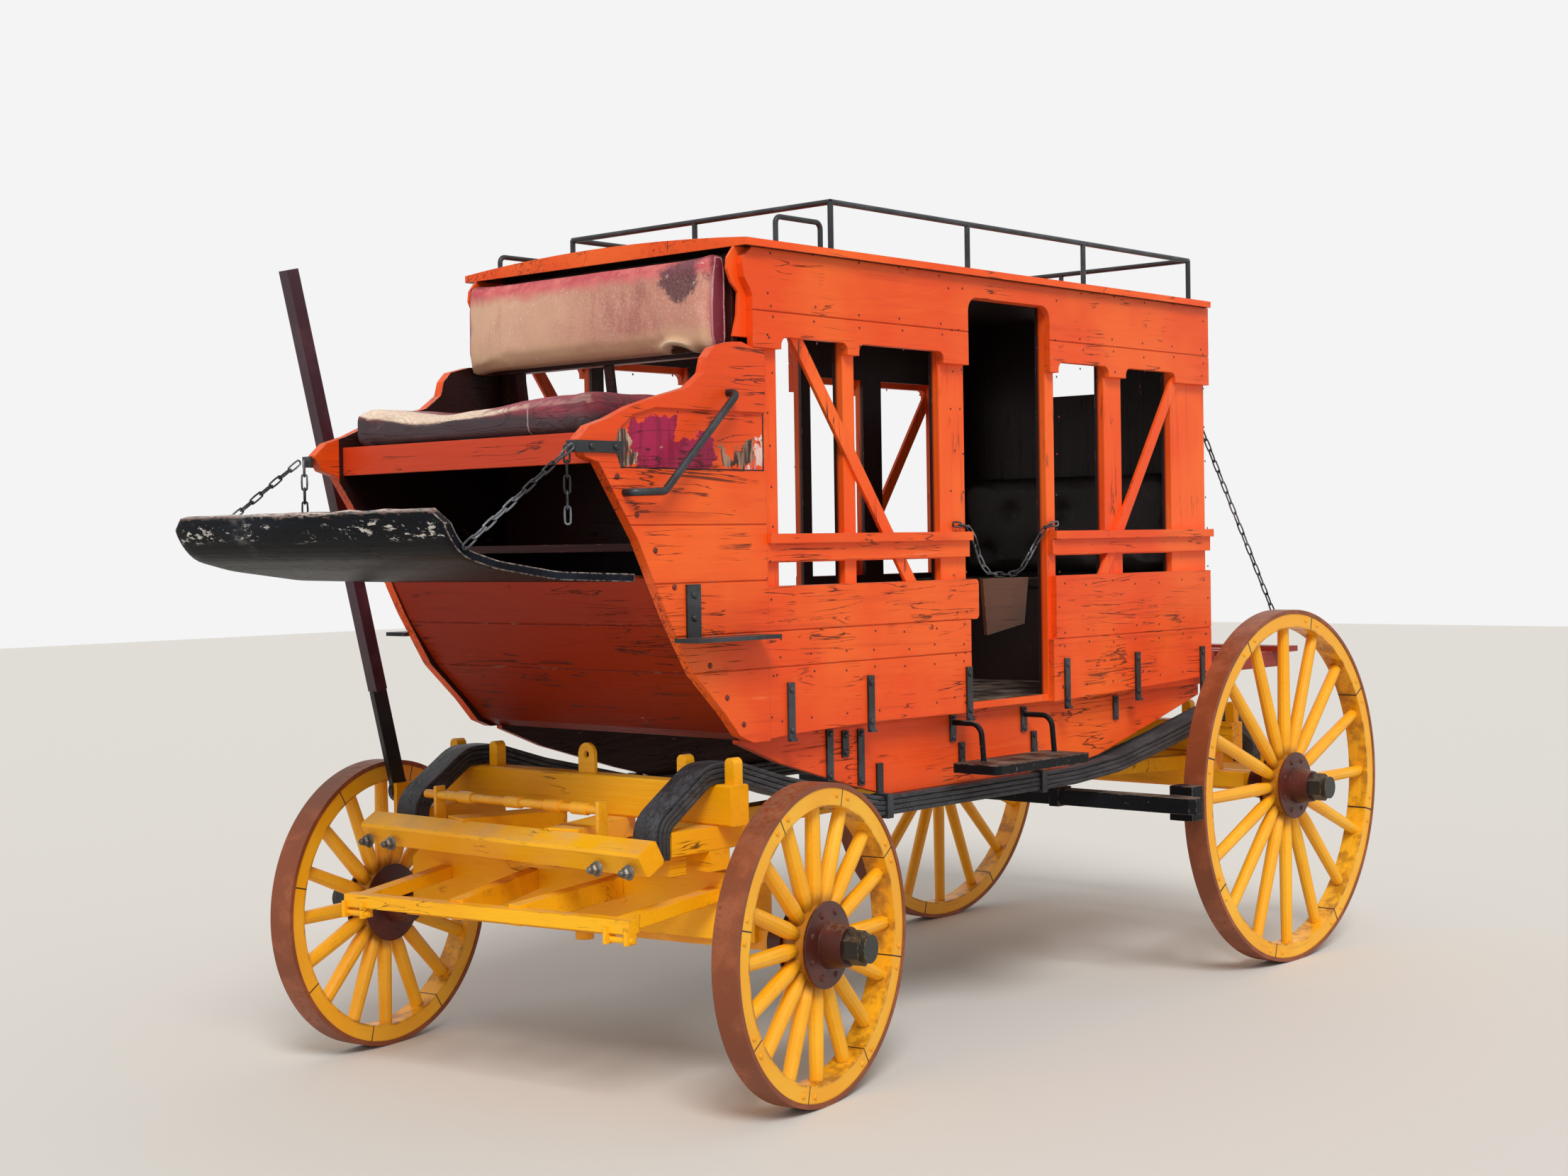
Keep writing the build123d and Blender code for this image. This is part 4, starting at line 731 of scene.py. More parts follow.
@dataclass(frozen=True)
class BackHide:
    """The back cushion's cover, bleached to tan in front and still wine-red round its top and ends.

    Attributes:
        name: The material's name.
        front: The cushion's front in metres.
        low: The height of its lower edge.
        high: The height of its upper edge.
        half: Half its width.
    """

    name: str
    front: float
    low: float
    high: float
    half: float

    def made(self) -> bpy.types.Material:
        """Builds the material."""
        s = Sheet(self.name)
        cloud = s.noise(4.2, detail=5.0, rough=0.62, warp=0.4)
        fine = s.noise(17.0, detail=6.0, rough=0.72)
        drip = s.noise(11.0, s.stretched((1.0, 1.0, 0.22)), 5.0, 0.65)
        grit = s.noise(150.0, detail=4.0, rough=0.8)
        pebble = s.pebble(560.0)
        down = s.z * -1 + self.high
        rightward = s.x + (cloud - 0.5) * 0.5
        tan = s.blend(rightward.step(-0.42, 0.30), "#E2B494", "#CE8F7C")
        tan = tan.coated(drip.step(0.50, 0.70) * 0.5, "#BE7C6C")
        stain = (cloud * 0.5 + drip * 0.5).step(0.50, 0.62) * rightward.step(-0.1, 0.2)
        tan = tan.coated(stain * 0.5, "#A8605A")
        tan = tan.coated(grit.step(0.50, 0.62) * 0.35, "#EBCFB6")
        lower = (s.z - self.low + (cloud - 0.5) * 0.06).step(0.11, 0.05)
        tan = tan.coated(lower * 0.75, "#DDB690")
        tan = tan.coated((s.z - self.low).step(0.035, 0.010) * 0.5, "#9A7058")
        rose = s.blend(fine.step(0.36, 0.62), "#D9746E", "#C25058")
        rose = rose.coated((down + (fine - 0.5) * 0.02).step(0.022, 0.008), "#E59A92")
        edge = (down + (fine - 0.5) * 0.07 + (drip - 0.5) * 0.05).step(0.092, 0.044)
        from_end = s.x.size() * -1 + self.half + (fine - 0.5) * 0.04
        ends = from_end.step(0.042, 0.014) * (s.x + 0.2).step(0.0, 0.2)
        behind = (s.y - self.front + (fine - 0.5) * 0.02).step(0.030, 0.046) * down.step(0.24, 0.20)
        behind = behind.largest((s.y - self.front).step(0.074, 0.086))
        hx = (s.x - TEAR_X - (drip - 0.5) * 0.05) / TEAR_SIZE[0]
        hz = (s.z - self.low - TEAR_UP) / TEAR_SIZE[1]
        torn = (hx * hx + hz * hz) ** 0.5 + (fine - 0.5) * 0.7
        colour = s.mix(edge, tan, rose)
        colour = colour.coated(torn.step(1.42, 1.28), "#F0D8B4")
        colour = colour.coated(torn.step(1.02, 0.90), "#4A3018")
        colour = colour.coated(ends * 0.85, "#A84650")
        colour = colour.coated(behind, "#7A2630")
        far_end = s.facing((1.0, 0.0, 0.0)).size().step(0.70, 0.90)
        colour = colour.coated(far_end, "#742432")
        dx, dz = (s.x - 0.43) * 0.75, s.z - (self.high - 0.075)
        spot = ((dx * dx + dz * dz) ** 0.5 + (fine - 0.5) * 0.16 + (cloud - 0.5) * 0.08).step(0.068, 0.036)
        colour = s.mix(spot * 0.85, colour, s.blend(grit.step(0.4, 0.6), "#2C1C26", "#6E4854"))
        colour = colour.coated(s.noise(70.0, detail=3.0).step(0.68, 0.72) * 0.6, "#F0DACB")
        scratch = s.noise(13.0, s.stretched((1.6, 1.0, 0.7)), 2.0, warp=2.5).vein(0.006, 0.001)
        colour = colour.coated(scratch * cloud.step(0.56, 0.62) * 0.6, "#F4E4D8")
        height = pebble * 0.14 + fine * 0.22 + grit * 0.2 + drip * 0.2 + 0.2 - spot * 0.3
        return s.done(colour, fine * 0.2 + 0.50, height, 0.0012, Specular_IOR_Level=0.3)


@dataclass(frozen=True)
class BandLeather:
    """Old strap leather: dusty blue-black, wrinkled along its length, lighter on its upward faces from dust
    and a painted sheen, with pale specks.

    Attributes:
        name: The material's name.
        skin: The sound colour.
        dusty: The colour of its upward faces, partly real dust and partly a painted sheen.
    """

    name: str
    skin: str = "#2A2C31"
    dusty: str = "#5E5F62"

    def made(self) -> bpy.types.Material:
        """Builds the material."""
        s = Sheet(self.name)
        along = s.stretched((1.0, 0.10, 0.55))
        wrinkle = s.noise(34.0, along, 5.0, 0.6, 0.9)
        fine = s.noise(120.0, s.stretched((1.0, 0.2, 0.8)), 5.0, 0.7)
        cloud = s.noise(6.0, detail=4.0, rough=0.6)
        line = wrinkle.vein(0.022, 0.003)
        pebble = s.pebble(520.0, 0.2)
        colour = s.blend((wrinkle * 0.6 + cloud * 0.4).step(0.42, 0.66), self.skin, "#3F4248")
        # Dust and painted sheen: upward faces lighten to the dusty colour.
        rub = s.upward().step(0.15, 0.9) * (cloud * 0.5 + fine * 0.5).step(0.40, 0.62)
        colour = colour.coated(rub * 0.7, self.dusty)
        colour = colour.coated(line * 0.8, "#0D0E12")
        colour = colour.coated(fine.step(0.66, 0.74) * 0.4, "#7A7470")
        height = wrinkle * 0.6 + fine * 0.2 + pebble * 0.1 + 0.2 - line * 0.5
        return s.done(colour, fine * 0.2 + 0.34 + rub * 0.15, height, 0.0022, Specular_IOR_Level=0.5)


RED = dict(coat="#F2500F", faded="#FB681F", deep="#B42C08")
YELLOW = dict(coat="#FAAA04", faded="#FFBA14", deep="#C8760A", bare="#7A5330", rub="#FFC840")
# Near-black painted on the coach's inner faces as painted shade of the interior.
INSIDE_PAINTED_SHADE = "#2C0F0C"


class Paints:
    """The coach's finishes by name, each made once; the wheels' wood is made with the wheels."""

    def __init__(self) -> None:
        """Makes every finish but the wheels' wood."""
        seat_low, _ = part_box("seat_cushion")
        back_low, back_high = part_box("back_cushion")
        board_low, board_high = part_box("footboard")
        # Painted shade: the inner faces of the posts and boards are painted near-black.
        lined = (Zone(INSIDE_PAINTED_SHADE, (("side", 0.0, 539.0),), soft=7.0),
                 Zone(INSIDE_PAINTED_SHADE, (("y", 180.0, 199.0), ("z", 0.0, 2138.0)), facing=(0.0, -1.0, 0.0)))
        boards_inner_shade = (Zone(INSIDE_PAINTED_SHADE, (("side", 0.0, 560.6),), soft=0.4),)
        lower_inner_shade = (Zone(INSIDE_PAINTED_SHADE, (("side", 0.0, 500.6),), soft=0.4),)
        recess = ("side", 572.0, 576.5)
        panel = (
            # The first zone is painted shade on the boot's inner faces; the others are real paint and bare
            # wood.
            Zone("#2A0F0D", (("side", 0.0, 550.6), ("y", -455.0, 300.0)), soft=0.4),
            Zone("#A51648", (recess, ("y", -330.0, -165.0), ("z", 1780.0, 1930.0)), "#8C1038", 1.5, 40.0),
            Zone("#A51648", (recess, ("y", -180.0, -30.0), ("z", 1780.0, 1876.0)), "#8C1038", 1.5, 50.0),
            Zone("#3E2A24", (recess, ("y", -430.0, -328.0), ("z", 1780.0, 1896.0)), "#C9A88E", 1.5, 60.0),
            Zone("#33201A", (recess, ("y", -4.0, 128.0), ("z", 1780.0, 1852.0)), "#A8826A", 1.5, 90.0),
            Zone("#EBCBC0", (recess, ("y", 140.0, 196.0), ("z", 1780.0, 1866.0)), "#B8334E", 1.5, 80.0),
        )
        edge_line = (Zone("#1E0A08", (recess, ("y", -442.0, 198.0), ("z", 1783.0, 1788.5)), soft=1.5),
                     Zone("#1E0A08", (recess, ("y", 192.0, 199.0), ("z", 1783.0, 1955.0)), soft=1.5))
        seat_front = Zone("#D8421A", (("y", -441.0, -415.0), ("z", 1770.0, 1885.0)), soft=0.5)
        # Painted shade on the boot front: darker towards the bottom.
        falling_shade = (Zone("#8E2303", (("z", 900.0, 1340.0),), soft=160.0),
                Zone("#6A1702", (("z", 900.0, 1100.0),), soft=100.0, share=0.5))
        outside_nut = (Zone("#1E2221", (("side", 870.0, 1200.0),), soft=0.5),)
        finishes = (
            PaintedWood("red_boards", seams=(1217.0, 1322.0, 1451.0), cracks=0.8, chips=0.4, zones=boards_inner_shade,
                        **RED),
            PaintedWood("red_lower", seams=(1012.0,), cracks=0.9, chips=0.5, zones=lower_inner_shade, **RED),
            PaintedWood("red_fascia", seams=(2246.0,), cracks=0.4, chips=0.3, zones=boards_inner_shade, **RED),
            PaintedWood("boot_boards", seams=(1217.0, 1322.0, 1470.0, 1631.0, 1785.0), cracks=1.0, chips=0.45,
                        zones=panel + edge_line, **RED),
            PaintedWood("red_posts", grain=Grain.UPRIGHT, cracks=0.3, zones=lined, **RED),
            # Painted shade: the roof's underside is painted near-black.
            PaintedWood("red_roof", cracks=0.6, chips=0.5, zones=(
                Zone("#1E0C0A", soft=0.5, facing=(0.0, 0.0, -1.0)),), **RED),
            # Painted shade: the rear wall's inner face is painted near-black.
            PaintedWood("red_end", grain=Grain.UPRIGHT, cracks=0.4, zones=(
                Zone("#1C0D0C", soft=0.5, facing=(0.0, -1.0, 0.0)),), **RED),
            # Painted shade on both faces of the bulkhead: near-black inside, dark red on its front face
            # behind the cushion.
            PaintedWood("red_front_end", grain=Grain.ACROSS, cracks=0.4, zones=(
                Zone("#1C0D0C", soft=0.5, facing=(0.0, 1.0, 0.0)),
                Zone("#3A120E", soft=0.5, facing=(0.0, -1.0, 0.0))), **RED),
            # The boot front is a darker, shaded copy of the red, as painted shade.
            PaintedWood("red_painted_shade", "#9C2604", "#A82E08", "#6A1803", grain=Grain.ACROSS, chips=0.1,
                        sheen=0.15, rub="#B84A26", zones=falling_shade, seams=(1216.0, 1352.0)),
            PaintedWood("yellow_across", grain=Grain.ACROSS, cracks=0.2, chips=0.25, gloss=0.34, **YELLOW),
            PaintedWood("yellow_along", cracks=0.2, chips=0.25, gloss=0.34, **YELLOW),
            PaintedWood("maroon_across", "#3A1410", "#4A1C16", "#200A08", grain=Grain.ACROSS, chips=0.2,
                        rub="#6A2C22", zones=(seat_front,)),
            PaintedWood("black_board", "#101216", "#191B20", "#08080A", "#C2AC9A", Grain.ACROSS, chips=0.95,
                        cracks=0.6, gloss=0.4, worn=1.0, sheen=0.12, rub="#3A3C42"),
            ChippedBoard("lip_board", board_low.y, board_high.z),
            # Painted shade of the interior: the floor and benches are painted near-black.
            PaintedWood("inside_painted_shade", "#1D0F0C", "#2A1712", "#0E0706", "#4A3226", chips=0.2, cracks=0.4,
                        gloss=0.6, rub="#3A241C"),
            PaintedWood("rack_red", "#8E2A1E", "#A23A2A", "#5A1812", chips=0.5, rub="#B8604C"),
            PaintedWood("bare_board", "#3A1F14", "#5A3422", "#1E100B", "#9A7A5A", chips=0.4, gloss=0.5,
                        worn=0.8, rub="#7A5236"),
            Iron("tyre_iron", "#82401F", "#9A5230", "#5A2A1A", 0.4, gloss=0.5),
            Iron("hub_iron", "#42140A", "#561F12", "#2C0F0A", 0.3, gloss=0.36),
            Iron("yellow_iron", "#EFA010", "#F7B224", "#8A4A12", 0.2, gloss=0.34),
            Iron("axle_iron", "#EFA010", "#F7B224", "#5A3A20", 0.12, gloss=0.34, zones=outside_nut),
            Iron("black_iron", "#1A1C20", "#34383E", "#3A2A22", 0.2, gloss=0.38),
            Iron("chain_iron", "#2A2C30", "#767A80", "#4A342A", 0.25, 0.5, 0.32),
            Iron("grey_iron", "#5A5A58", "#86847C", "#5A3A28", 0.3, 0.7, 0.36),
            Iron("maroon_iron", "#381A26", "#482833", "#24120F", 0.2, gloss=0.38, zones=(
                Zone("#17181B", (("z", 600.0, 1130.0),), soft=2.0),)),
            Iron("nail_iron", "#5A1A0C", "#6E2412", "#2A0E08", 0.4, gloss=0.5),
            BandLeather("band_leather"),
            SeatHide("seat_hide", seat_low.y, seat_low.z),
            BackHide("back_hide", back_low.y, back_low.z, back_high.z + CUSHION_RISE, back_high.x),
            Hide("piping", "#C8828A", "#E6C2BC", "#7A3A44", 0.6, 0.5),
            Hide("bench_leather", "#1E1614", "#3A2E2A", "#0D0908", 0.4, 0.4),
        )
        self.by_name = {finish.name: finish.made() for finish in finishes}

    def dress(self, piece: bpy.types.Object, name: str) -> None:
        """Gives a piece one finish."""
        self.cover(piece, self.by_name[name])

    @staticmethod
    def cover(piece: bpy.types.Object, material: bpy.types.Material) -> None:
        """Puts a material in every slot of a piece."""
        if not piece.material_slots:
            piece.data.materials.append(material)
        for holder in piece.material_slots:
            holder.material = material


NODES_BY_FINISH = {
    "yellow_across": ("front_axle_bed", "splinter_frame", "front_bolster", "front_spring_bar",
                      "front_standing_beam", "rear_axle_bed", "rear_standing_beam"),
    "yellow_along": ("upper_hounds", "reach_pole"), "yellow_iron": ("fifth_wheel_lower", "windlass_shaft"),
    "axle_iron": ("front_axle", "rear_axle"), "maroon_iron": ("brake_lever",),
    "band_leather": ("thoroughbrace_left", "thoroughbrace_right"),
    "black_board": ("brake_beam", "door_steps"), "inside_painted_shade": ("floor", "front_bench", "rear_bench"),
    "boot_boards": ("boot_side_left", "boot_side_right"),
    "red_lower": ("lower_boards_left", "lower_boards_right"), "red_fascia": ("fascia_left", "fascia_right"),
    "red_posts": ("side_frame_left", "side_frame_right"), "red_roof": ("roof",), "red_end": ("rear_wall",),
    "red_boards": ("side_boards_left", "side_boards_right"), "red_front_end": ("front_bulkhead",),
    "red_painted_shade": ("boot_front",), "maroon_across": ("seat_box",), "lip_board": ("footboard",),
    "seat_hide": ("seat_cushion",), "back_hide": ("back_cushion",), "bench_leather": ("rear_back_pad",),
    "black_iron": ("roof_rail", "boot_irons", "body_irons"), "chain_iron": ("door_chain", "stay_chains"),
    "bare_board": ("sign_board",), "rack_red": ("rear_rack",),
}


def tell(piece: bpy.types.Object) -> None:
    """Logs a finished piece."""
    LOG.info("%s: %d faces", piece.name, len(piece.data.polygons))


@contextmanager
def editing() -> Iterator[None]:
    """Opens the piece in hand for editing, and closes it again."""
    bpy.ops.object.mode_set(mode="EDIT")
    yield
    bpy.ops.object.mode_set(mode="OBJECT")


@dataclass(frozen=True)
class WheelPair:
    """The two wheels on one axle.

    Attributes:
        end: The end of the coach that they carry.
        y: Their axle's distance behind the kingpin, in metres.
        z: Its height.
        rim: The rim's inner radius.
        steer: How far the axle is turned as it is parked, in radians.
    """

    end: str
    y: float
    z: float
    rim: float
    steer: float = 0.0

    def place(self, sign: int) -> Matrix:
        """Gives the place of the wheel on the side of the sign, with X out along its axle."""
        axle = Matrix.Translation((0, self.y + CENTRE_Y, self.z)) @ Matrix.Rotation(self.steer, 4, "Z")
        return axle @ Matrix.Translation((sign * WHEEL_X, 0, 0)) @ outward(sign)


WHEEL_PAIRS = (WheelPair("front", 0.0, 0.4525, 0.3885, PARKED_STEER), WheelPair("rear", 2.810, 0.650, 0.586))


@dataclass
class Wheels:
    """The four wheels' finishes, each with its grain laid out from its own centre."""

    paints: Paints

    def build(self) -> None:
        """Dresses tyres, wooden wheels and hubs."""
        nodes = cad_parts
        for pair in WHEEL_PAIRS:
            for side, sign in SIDES:
                name, centre = f"{pair.end}_{side}", pair.place(sign).to_translation()
                wood = WheelWood(f"{name}_wheel_wood", centre, pair.steer, pair.rim).made()
                self.paints.cover(nodes[f"{name}_spoked_wheel"], wood)
                self.paints.dress(nodes[f"{name}_tyre"], "tyre_iron")
                self.paints.dress(nodes[f"{name}_hub"], "hub_iron")
        LOG.info("wheels dressed")


class Bench:
    """The modelling bench, where each piece is begun, shaped and finished with editing operators."""

    @staticmethod
    def alone(piece: bpy.types.Object | None = None) -> None:
        """Deselects everything and takes one piece in hand."""
        if bpy.context.object and bpy.context.object.mode != "OBJECT":
            bpy.ops.object.mode_set(mode="OBJECT")
        for thing in list(bpy.context.selected_objects):
            thing.select_set(False)
        if piece is not None:
            piece.select_set(True)
            bpy.context.view_layer.objects.active = piece

    @staticmethod
    def settle(piece: bpy.types.Object, name: str) -> bpy.types.Object:
        """Names a piece and moves its place into its mesh."""
        bpy.ops.object.transform_apply(location=True, rotation=True, scale=True)
        piece.name = name
        piece.data.name = name
        return piece

    @classmethod
    def slab(cls, name: str, low: Vector, high: Vector, edge: float, cuts: int) -> bpy.types.Object:
        """Makes a block between two corners with eased edges.

        Args:
            name: The piece's name.
            low: Its lowest corner in metres.
            high: Its highest corner in metres.
            edge: How far its edges are eased.
            cuts: How many times its faces are divided.

        Returns:
            The block.
        """
        cls.alone()
        bpy.ops.mesh.primitive_cube_add(size=1, location=(low + high) / 2)
        piece = bpy.context.object
        piece.scale = high - low
        cls.settle(piece, name)
        with editing():
            bpy.ops.mesh.select_all(action="SELECT")
            bpy.ops.mesh.bevel(offset=edge, segments=3, affect="EDGES")
            bpy.ops.mesh.subdivide(number_cuts=cuts)
        return piece

    @classmethod
    def strip(cls, name: str, path: Sequence[Vector], width: float, thick: float,
              edge: float = 0.0) -> bpy.types.Object:
        """Draws a flat section along a path in an upright plane.

        Args:
            name: The piece's name.
            path: The middle of the strip, at one place across the coach.
            width: Its width across the coach.
            thick: Its thickness.
            edge: How far its long edges are eased.

        Returns:
            The closed strip.
        """
        cls.alone()
        bpy.ops.mesh.primitive_plane_add(size=1, location=(0, 0, 0))
        piece = bpy.context.object
        piece.scale = (width, thick, 1.0)
        bpy.ops.object.transform_apply(location=True, rotation=True, scale=True)
        runs = [(b - a).normalized() for a, b in zip(path, path[1:])]
        leans = [math.atan2(run.y, run.z) for run in runs]
        now = leans[0]
        with editing():
            bpy.ops.mesh.select_all(action="SELECT")
            bpy.ops.transform.translate(value=path[0])
            bpy.ops.transform.rotate(value=now, orient_axis="X", center_override=path[0])
            for place in range(1, len(path)):
                step = path[place] - path[place - 1]
                bpy.ops.mesh.extrude_region_move(TRANSFORM_OT_translate={"value": step})
                after = leans[min(place, len(leans) - 1)]
                turn = (after - leans[place - 1] + math.pi) % math.tau - math.pi
                lean = leans[place - 1] + turn / 2 if place < len(leans) else leans[-1]
                bpy.ops.transform.rotate(value=lean - now, orient_axis="X", center_override=path[place])
                now = lean
            bpy.ops.mesh.select_all(action="SELECT")
            bpy.ops.mesh.normals_make_consistent(inside=False)
        if edge:
            cls.eased(piece, edge)
        return cls.settle(piece, name)

    @classmethod
    def eased(cls, piece: bpy.types.Object, edge: float) -> bpy.types.Object:
        """Eases a piece's sharp edges with a bevel that is applied."""
        cls.alone(piece)
        ease = piece.modifiers.new("eased", "BEVEL")
        ease.width = edge
        ease.segments = 2
        ease.limit_method = "ANGLE"
        ease.angle_limit = math.radians(40)
        bpy.ops.object.modifier_apply(modifier=ease.name)
        return piece

    @classmethod
    def head(cls, name: str, radius: float, height: float, sides: int, dome: float) -> bpy.types.Object:
        """Makes one bolt or nail head at the origin, standing on the plane x = 0 and facing +X.

        Args:
            name: The piece's name.
            radius: The head's radius.
            height: Its height.
            sides: How many sides it has.
            dome: The share of its radius that its top is eased by.

        Returns:
            The head.
        """
        cls.alone()
        bpy.ops.mesh.primitive_cylinder_add(vertices=sides, radius=radius, depth=height,
                                            location=(height / 2, 0, 0), rotation=(0, math.pi / 2, 0))
        piece = cls.settle(bpy.context.object, name)
        with editing():
            bpy.ops.mesh.select_all(action="DESELECT")
        for face in piece.data.polygons:
            face.select = face.normal.x > 0.9
        with editing():
            bpy.ops.mesh.select_mode(type="FACE")
            bpy.ops.mesh.bevel(offset=min(radius * dome, height * 0.6), segments=1, affect="EDGES")
        return piece

    @classmethod
    def copies(cls, name: str, pattern: bpy.types.Object, places: Iterable[Matrix]) -> bpy.types.Object:
        """Copies a pattern to every place, each copy with its own mesh, and joins the copies.

        Args:
            name: The joined piece's name.
            pattern: The piece that is repeated; it is used up.
            places: Where each copy goes.

        Returns:
            The joined copies.
        """
        made = []
        for place in places:
            twin = pattern.copy()
            twin.data = pattern.data.copy()
            twin.data.transform(place)
            bpy.context.collection.objects.link(twin)
            made.append(twin)
        bpy.data.objects.remove(pattern)
        return cls.joined(name, made)

    @classmethod
    def joined(cls, name: str, pieces: Sequence[bpy.types.Object]) -> bpy.types.Object:
        """Joins pieces into one."""
        cls.alone(pieces[0])
        for piece in pieces:
            piece.select_set(True)
        if len(pieces) > 1:
            bpy.ops.object.join()
        pieces[0].name = name
        pieces[0].data.name = name
        return pieces[0]

    @classmethod
    def smooth(cls, piece: bpy.types.Object, angle: float) -> bpy.types.Object:
        """Shades a piece smooth, with its corners kept sharp."""
        cls.alone(piece)
        bpy.ops.object.shade_smooth_by_angle(angle=math.radians(angle))
        return piece


@dataclass
class SeatPads:
    """The driver's sagging seat cushion, its faded back cushion and the padded back of the rear bench.

    Attributes:
        cell: The size of the even mesh that the stuffing swells.
        frames: How many steps the stuffing takes.
        pressure: The stuffing's pressure.
    """

    paints: Paints
    cell: float = 0.009
    frames: int = 20
    pressure: float = 4.0

    def build(self) -> None:
        """Makes the three pads."""
        self.seat()
        self.back()
        self.bench()

    def swell(self, piece: bpy.types.Object, low: Vector, high: Vector, cap: float) -> None:
        """Gives a pad an even mesh, swells it with cloth and holds it within a box.

        Args:
            piece: The pad's starting shape.
            low: The lowest corner that it may reach.
            high: The highest corner that it may reach.
            cap: How far any point may move.
        """
        Bench.alone(piece)
        even = piece.modifiers.new("even_mesh", "REMESH")
        even.mode = "VOXEL"
        even.voxel_size = self.cell
        bpy.ops.object.modifier_apply(modifier=even.name)
        start = [vertex.co.copy() for vertex in piece.data.vertices]
        cloth = piece.modifiers.new("stuffing", "CLOTH")
        cloth.settings.use_pressure = True
        cloth.settings.uniform_pressure_force = self.pressure
        cloth.settings.effector_weights.gravity = 0.0
        for frame_number in range(1, self.frames + 1):
            bpy.context.scene.frame_set(frame_number)
        bpy.ops.object.modifier_apply(modifier=cloth.name)
        bpy.context.scene.frame_set(1)
        for vertex, began in zip(piece.data.vertices, start):
            moved = vertex.co - began
            if moved.length > cap:
                vertex.co = began + moved * (cap / moved.length)
            vertex.co = Vector(min(max(part, least), most) for part, least, most in zip(vertex.co, low, high))

    def finish(self, piece: bpy.types.Object, node: str, finish: str, slot: str, fill: float) -> None:
        """Gives a pad its skin and puts it in its node's place."""
        Bench.alone(piece)
        skin = piece.modifiers.new("even_skin", "SUBSURF")
        skin.levels = 1
        skin.render_levels = 1
        bpy.ops.object.modifier_apply(modifier=skin.name)
        Bench.smooth(piece, 60.0)
        self.paints.dress(piece, finish)
        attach(piece, "coach")
        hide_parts(node)
        tell(piece)

    def seat(self) -> None:
        """Makes the seat cushion, worn hollow in the middle and hanging over its front board."""
        low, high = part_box("seat_cushion")
        piece = Bench.slab("driver_seat_cushion", low + Vector((0.012, 0.010, 0.004)),
                           high - Vector((0.012, 0.010, 0.014)), 0.024, 3)
        self.swell(piece, low, high, 0.018)
        front = low.y
        worn_x, narrow, wide, deep = -0.20, 0.30, 0.56, 0.36
        for vertex in piece.data.vertices:
            spot = vertex.co
            away = (spot.x - worn_x) / (narrow if spot.x < worn_x else wide)
            hollow = (1 + math.cos(math.pi * min(max(away, -1.0), 1.0))) / 2
            fore = held((front + deep - spot.y) / deep)
            fore = fore * fore * (3 - 2 * fore)
            rumple = ripple(spot.x * 9, spot.y * 9, spot.z * 14) * 0.007
            rumple += ripple(spot.x * 3 + 7, spot.y * 4, spot.z * 26) * 0.005 * fore
            sink = 1 - 0.34 * hollow * (0.30 + 0.70 * fore)
            spot.z = low.z + (spot.z - low.z) * sink + max(rumple, -0.003) * (spot.z > low.z + 0.02)
            over = held((front + 0.030 - spot.y) / 0.02)
            spot.y -= 0.005 * over * hollow + rumple * 0.7 * over
            if spot.y < front + 0.004:
                spot.z -= 0.014 * hollow * over
            lip = math.exp(-((spot.y - front - 0.016) / 0.010) ** 2) * (spot.z > low.z + 0.055)
            tatter = ripple(spot.x * 46, 4.0, 1.0) * 0.5 + 0.5
            spot.z += lip * (0.004 + 0.022 * tatter ** 2 * (spot.x < 0.10))
        self.finish(piece, "seat_cushion", "seat_hide", "seat_leather", 0.55)

    def back(self) -> None:
        """Makes the back cushion, its lower edge a little pulled up."""
        low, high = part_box("back_cushion")
        high = high + Vector((0, 0, CUSHION_RISE))
        piece = Bench.slab("driver_back_cushion", low + Vector((0.006, 0.016, 0.008)),
                           high - Vector((0.006, 0.006, 0.006)), 0.024, 3)
        self.swell(piece, low, high, 0.014)
        middle = (low + high) / 2
        bend, left_bend = 0.062, 0.072
        for vertex in piece.data.vertices:
            spot = vertex.co
            aside = max(abs(spot.x - middle.x) - (high.x - bend), 0.0)
            aloft = max(abs(spot.z - middle.z) - ((high.z - low.z) / 2 - bend), 0.0)
            reach = math.hypot(aside, aloft)
            round_off = bend if spot.x < 0 else left_bend
            if reach > round_off:
                keep = round_off / reach
                spot.x -= math.copysign(aside * (1 - keep), spot.x - middle.x)
                spot.z -= math.copysign(aloft * (1 - keep), spot.z - middle.z)
            dent = ripple(spot.x * 5, 3.0, spot.z * 7) * 0.007
            dent += ripple(spot.x * 16, 9.0, spot.z * 11) * 0.0025
            facing = held((high.y - 0.03 - spot.y) / 0.05)
            crown = 0.012 * (abs(spot.x) / high.x) ** 4 + 0.010 * (abs(spot.z - middle.z) / 0.146) ** 4
            spot.y += (max(dent, -0.003) + crown) * facing
            torn = math.hypot((spot.x - TEAR_X) / TEAR_SIZE[0], (spot.z - low.z - TEAR_UP) / TEAR_SIZE[1])
            spot.y -= (0.013 * math.exp(-((torn - 1.2) / 0.25) ** 2) - 0.012 * (torn < 0.9)) * facing
        self.finish(piece, "back_cushion", "back_hide", "seat_leather", 0.75)
        self.piping(piece, middle)

    def piping(self, pad: bpy.types.Object, middle: Vector) -> None:
        """Sews a cord round both ends of the back cushion, lying on its skin."""
        cords = []
        for _, sign in reversed(SIDES):
            centre = Vector((sign * 0.524, middle.y, middle.z))
            path = []
            for turn in range(0, 361, 10):
                way = Vector((0, math.cos(math.radians(turn)), math.sin(math.radians(turn))))
                met, place, _, _ = pad.ray_cast(centre + way * 0.3, -way)
                if met:
                    path.append(place + way * 0.001)
            cords.append(Bench.strip("cord", path, 0.0065, 0.0065, 0.002))
        cord = Bench.smooth(Bench.joined("back_cushion_piping", cords), 60.0)
        self.paints.dress(cord, "piping")
        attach(cord, "coach")
        tell(cord)

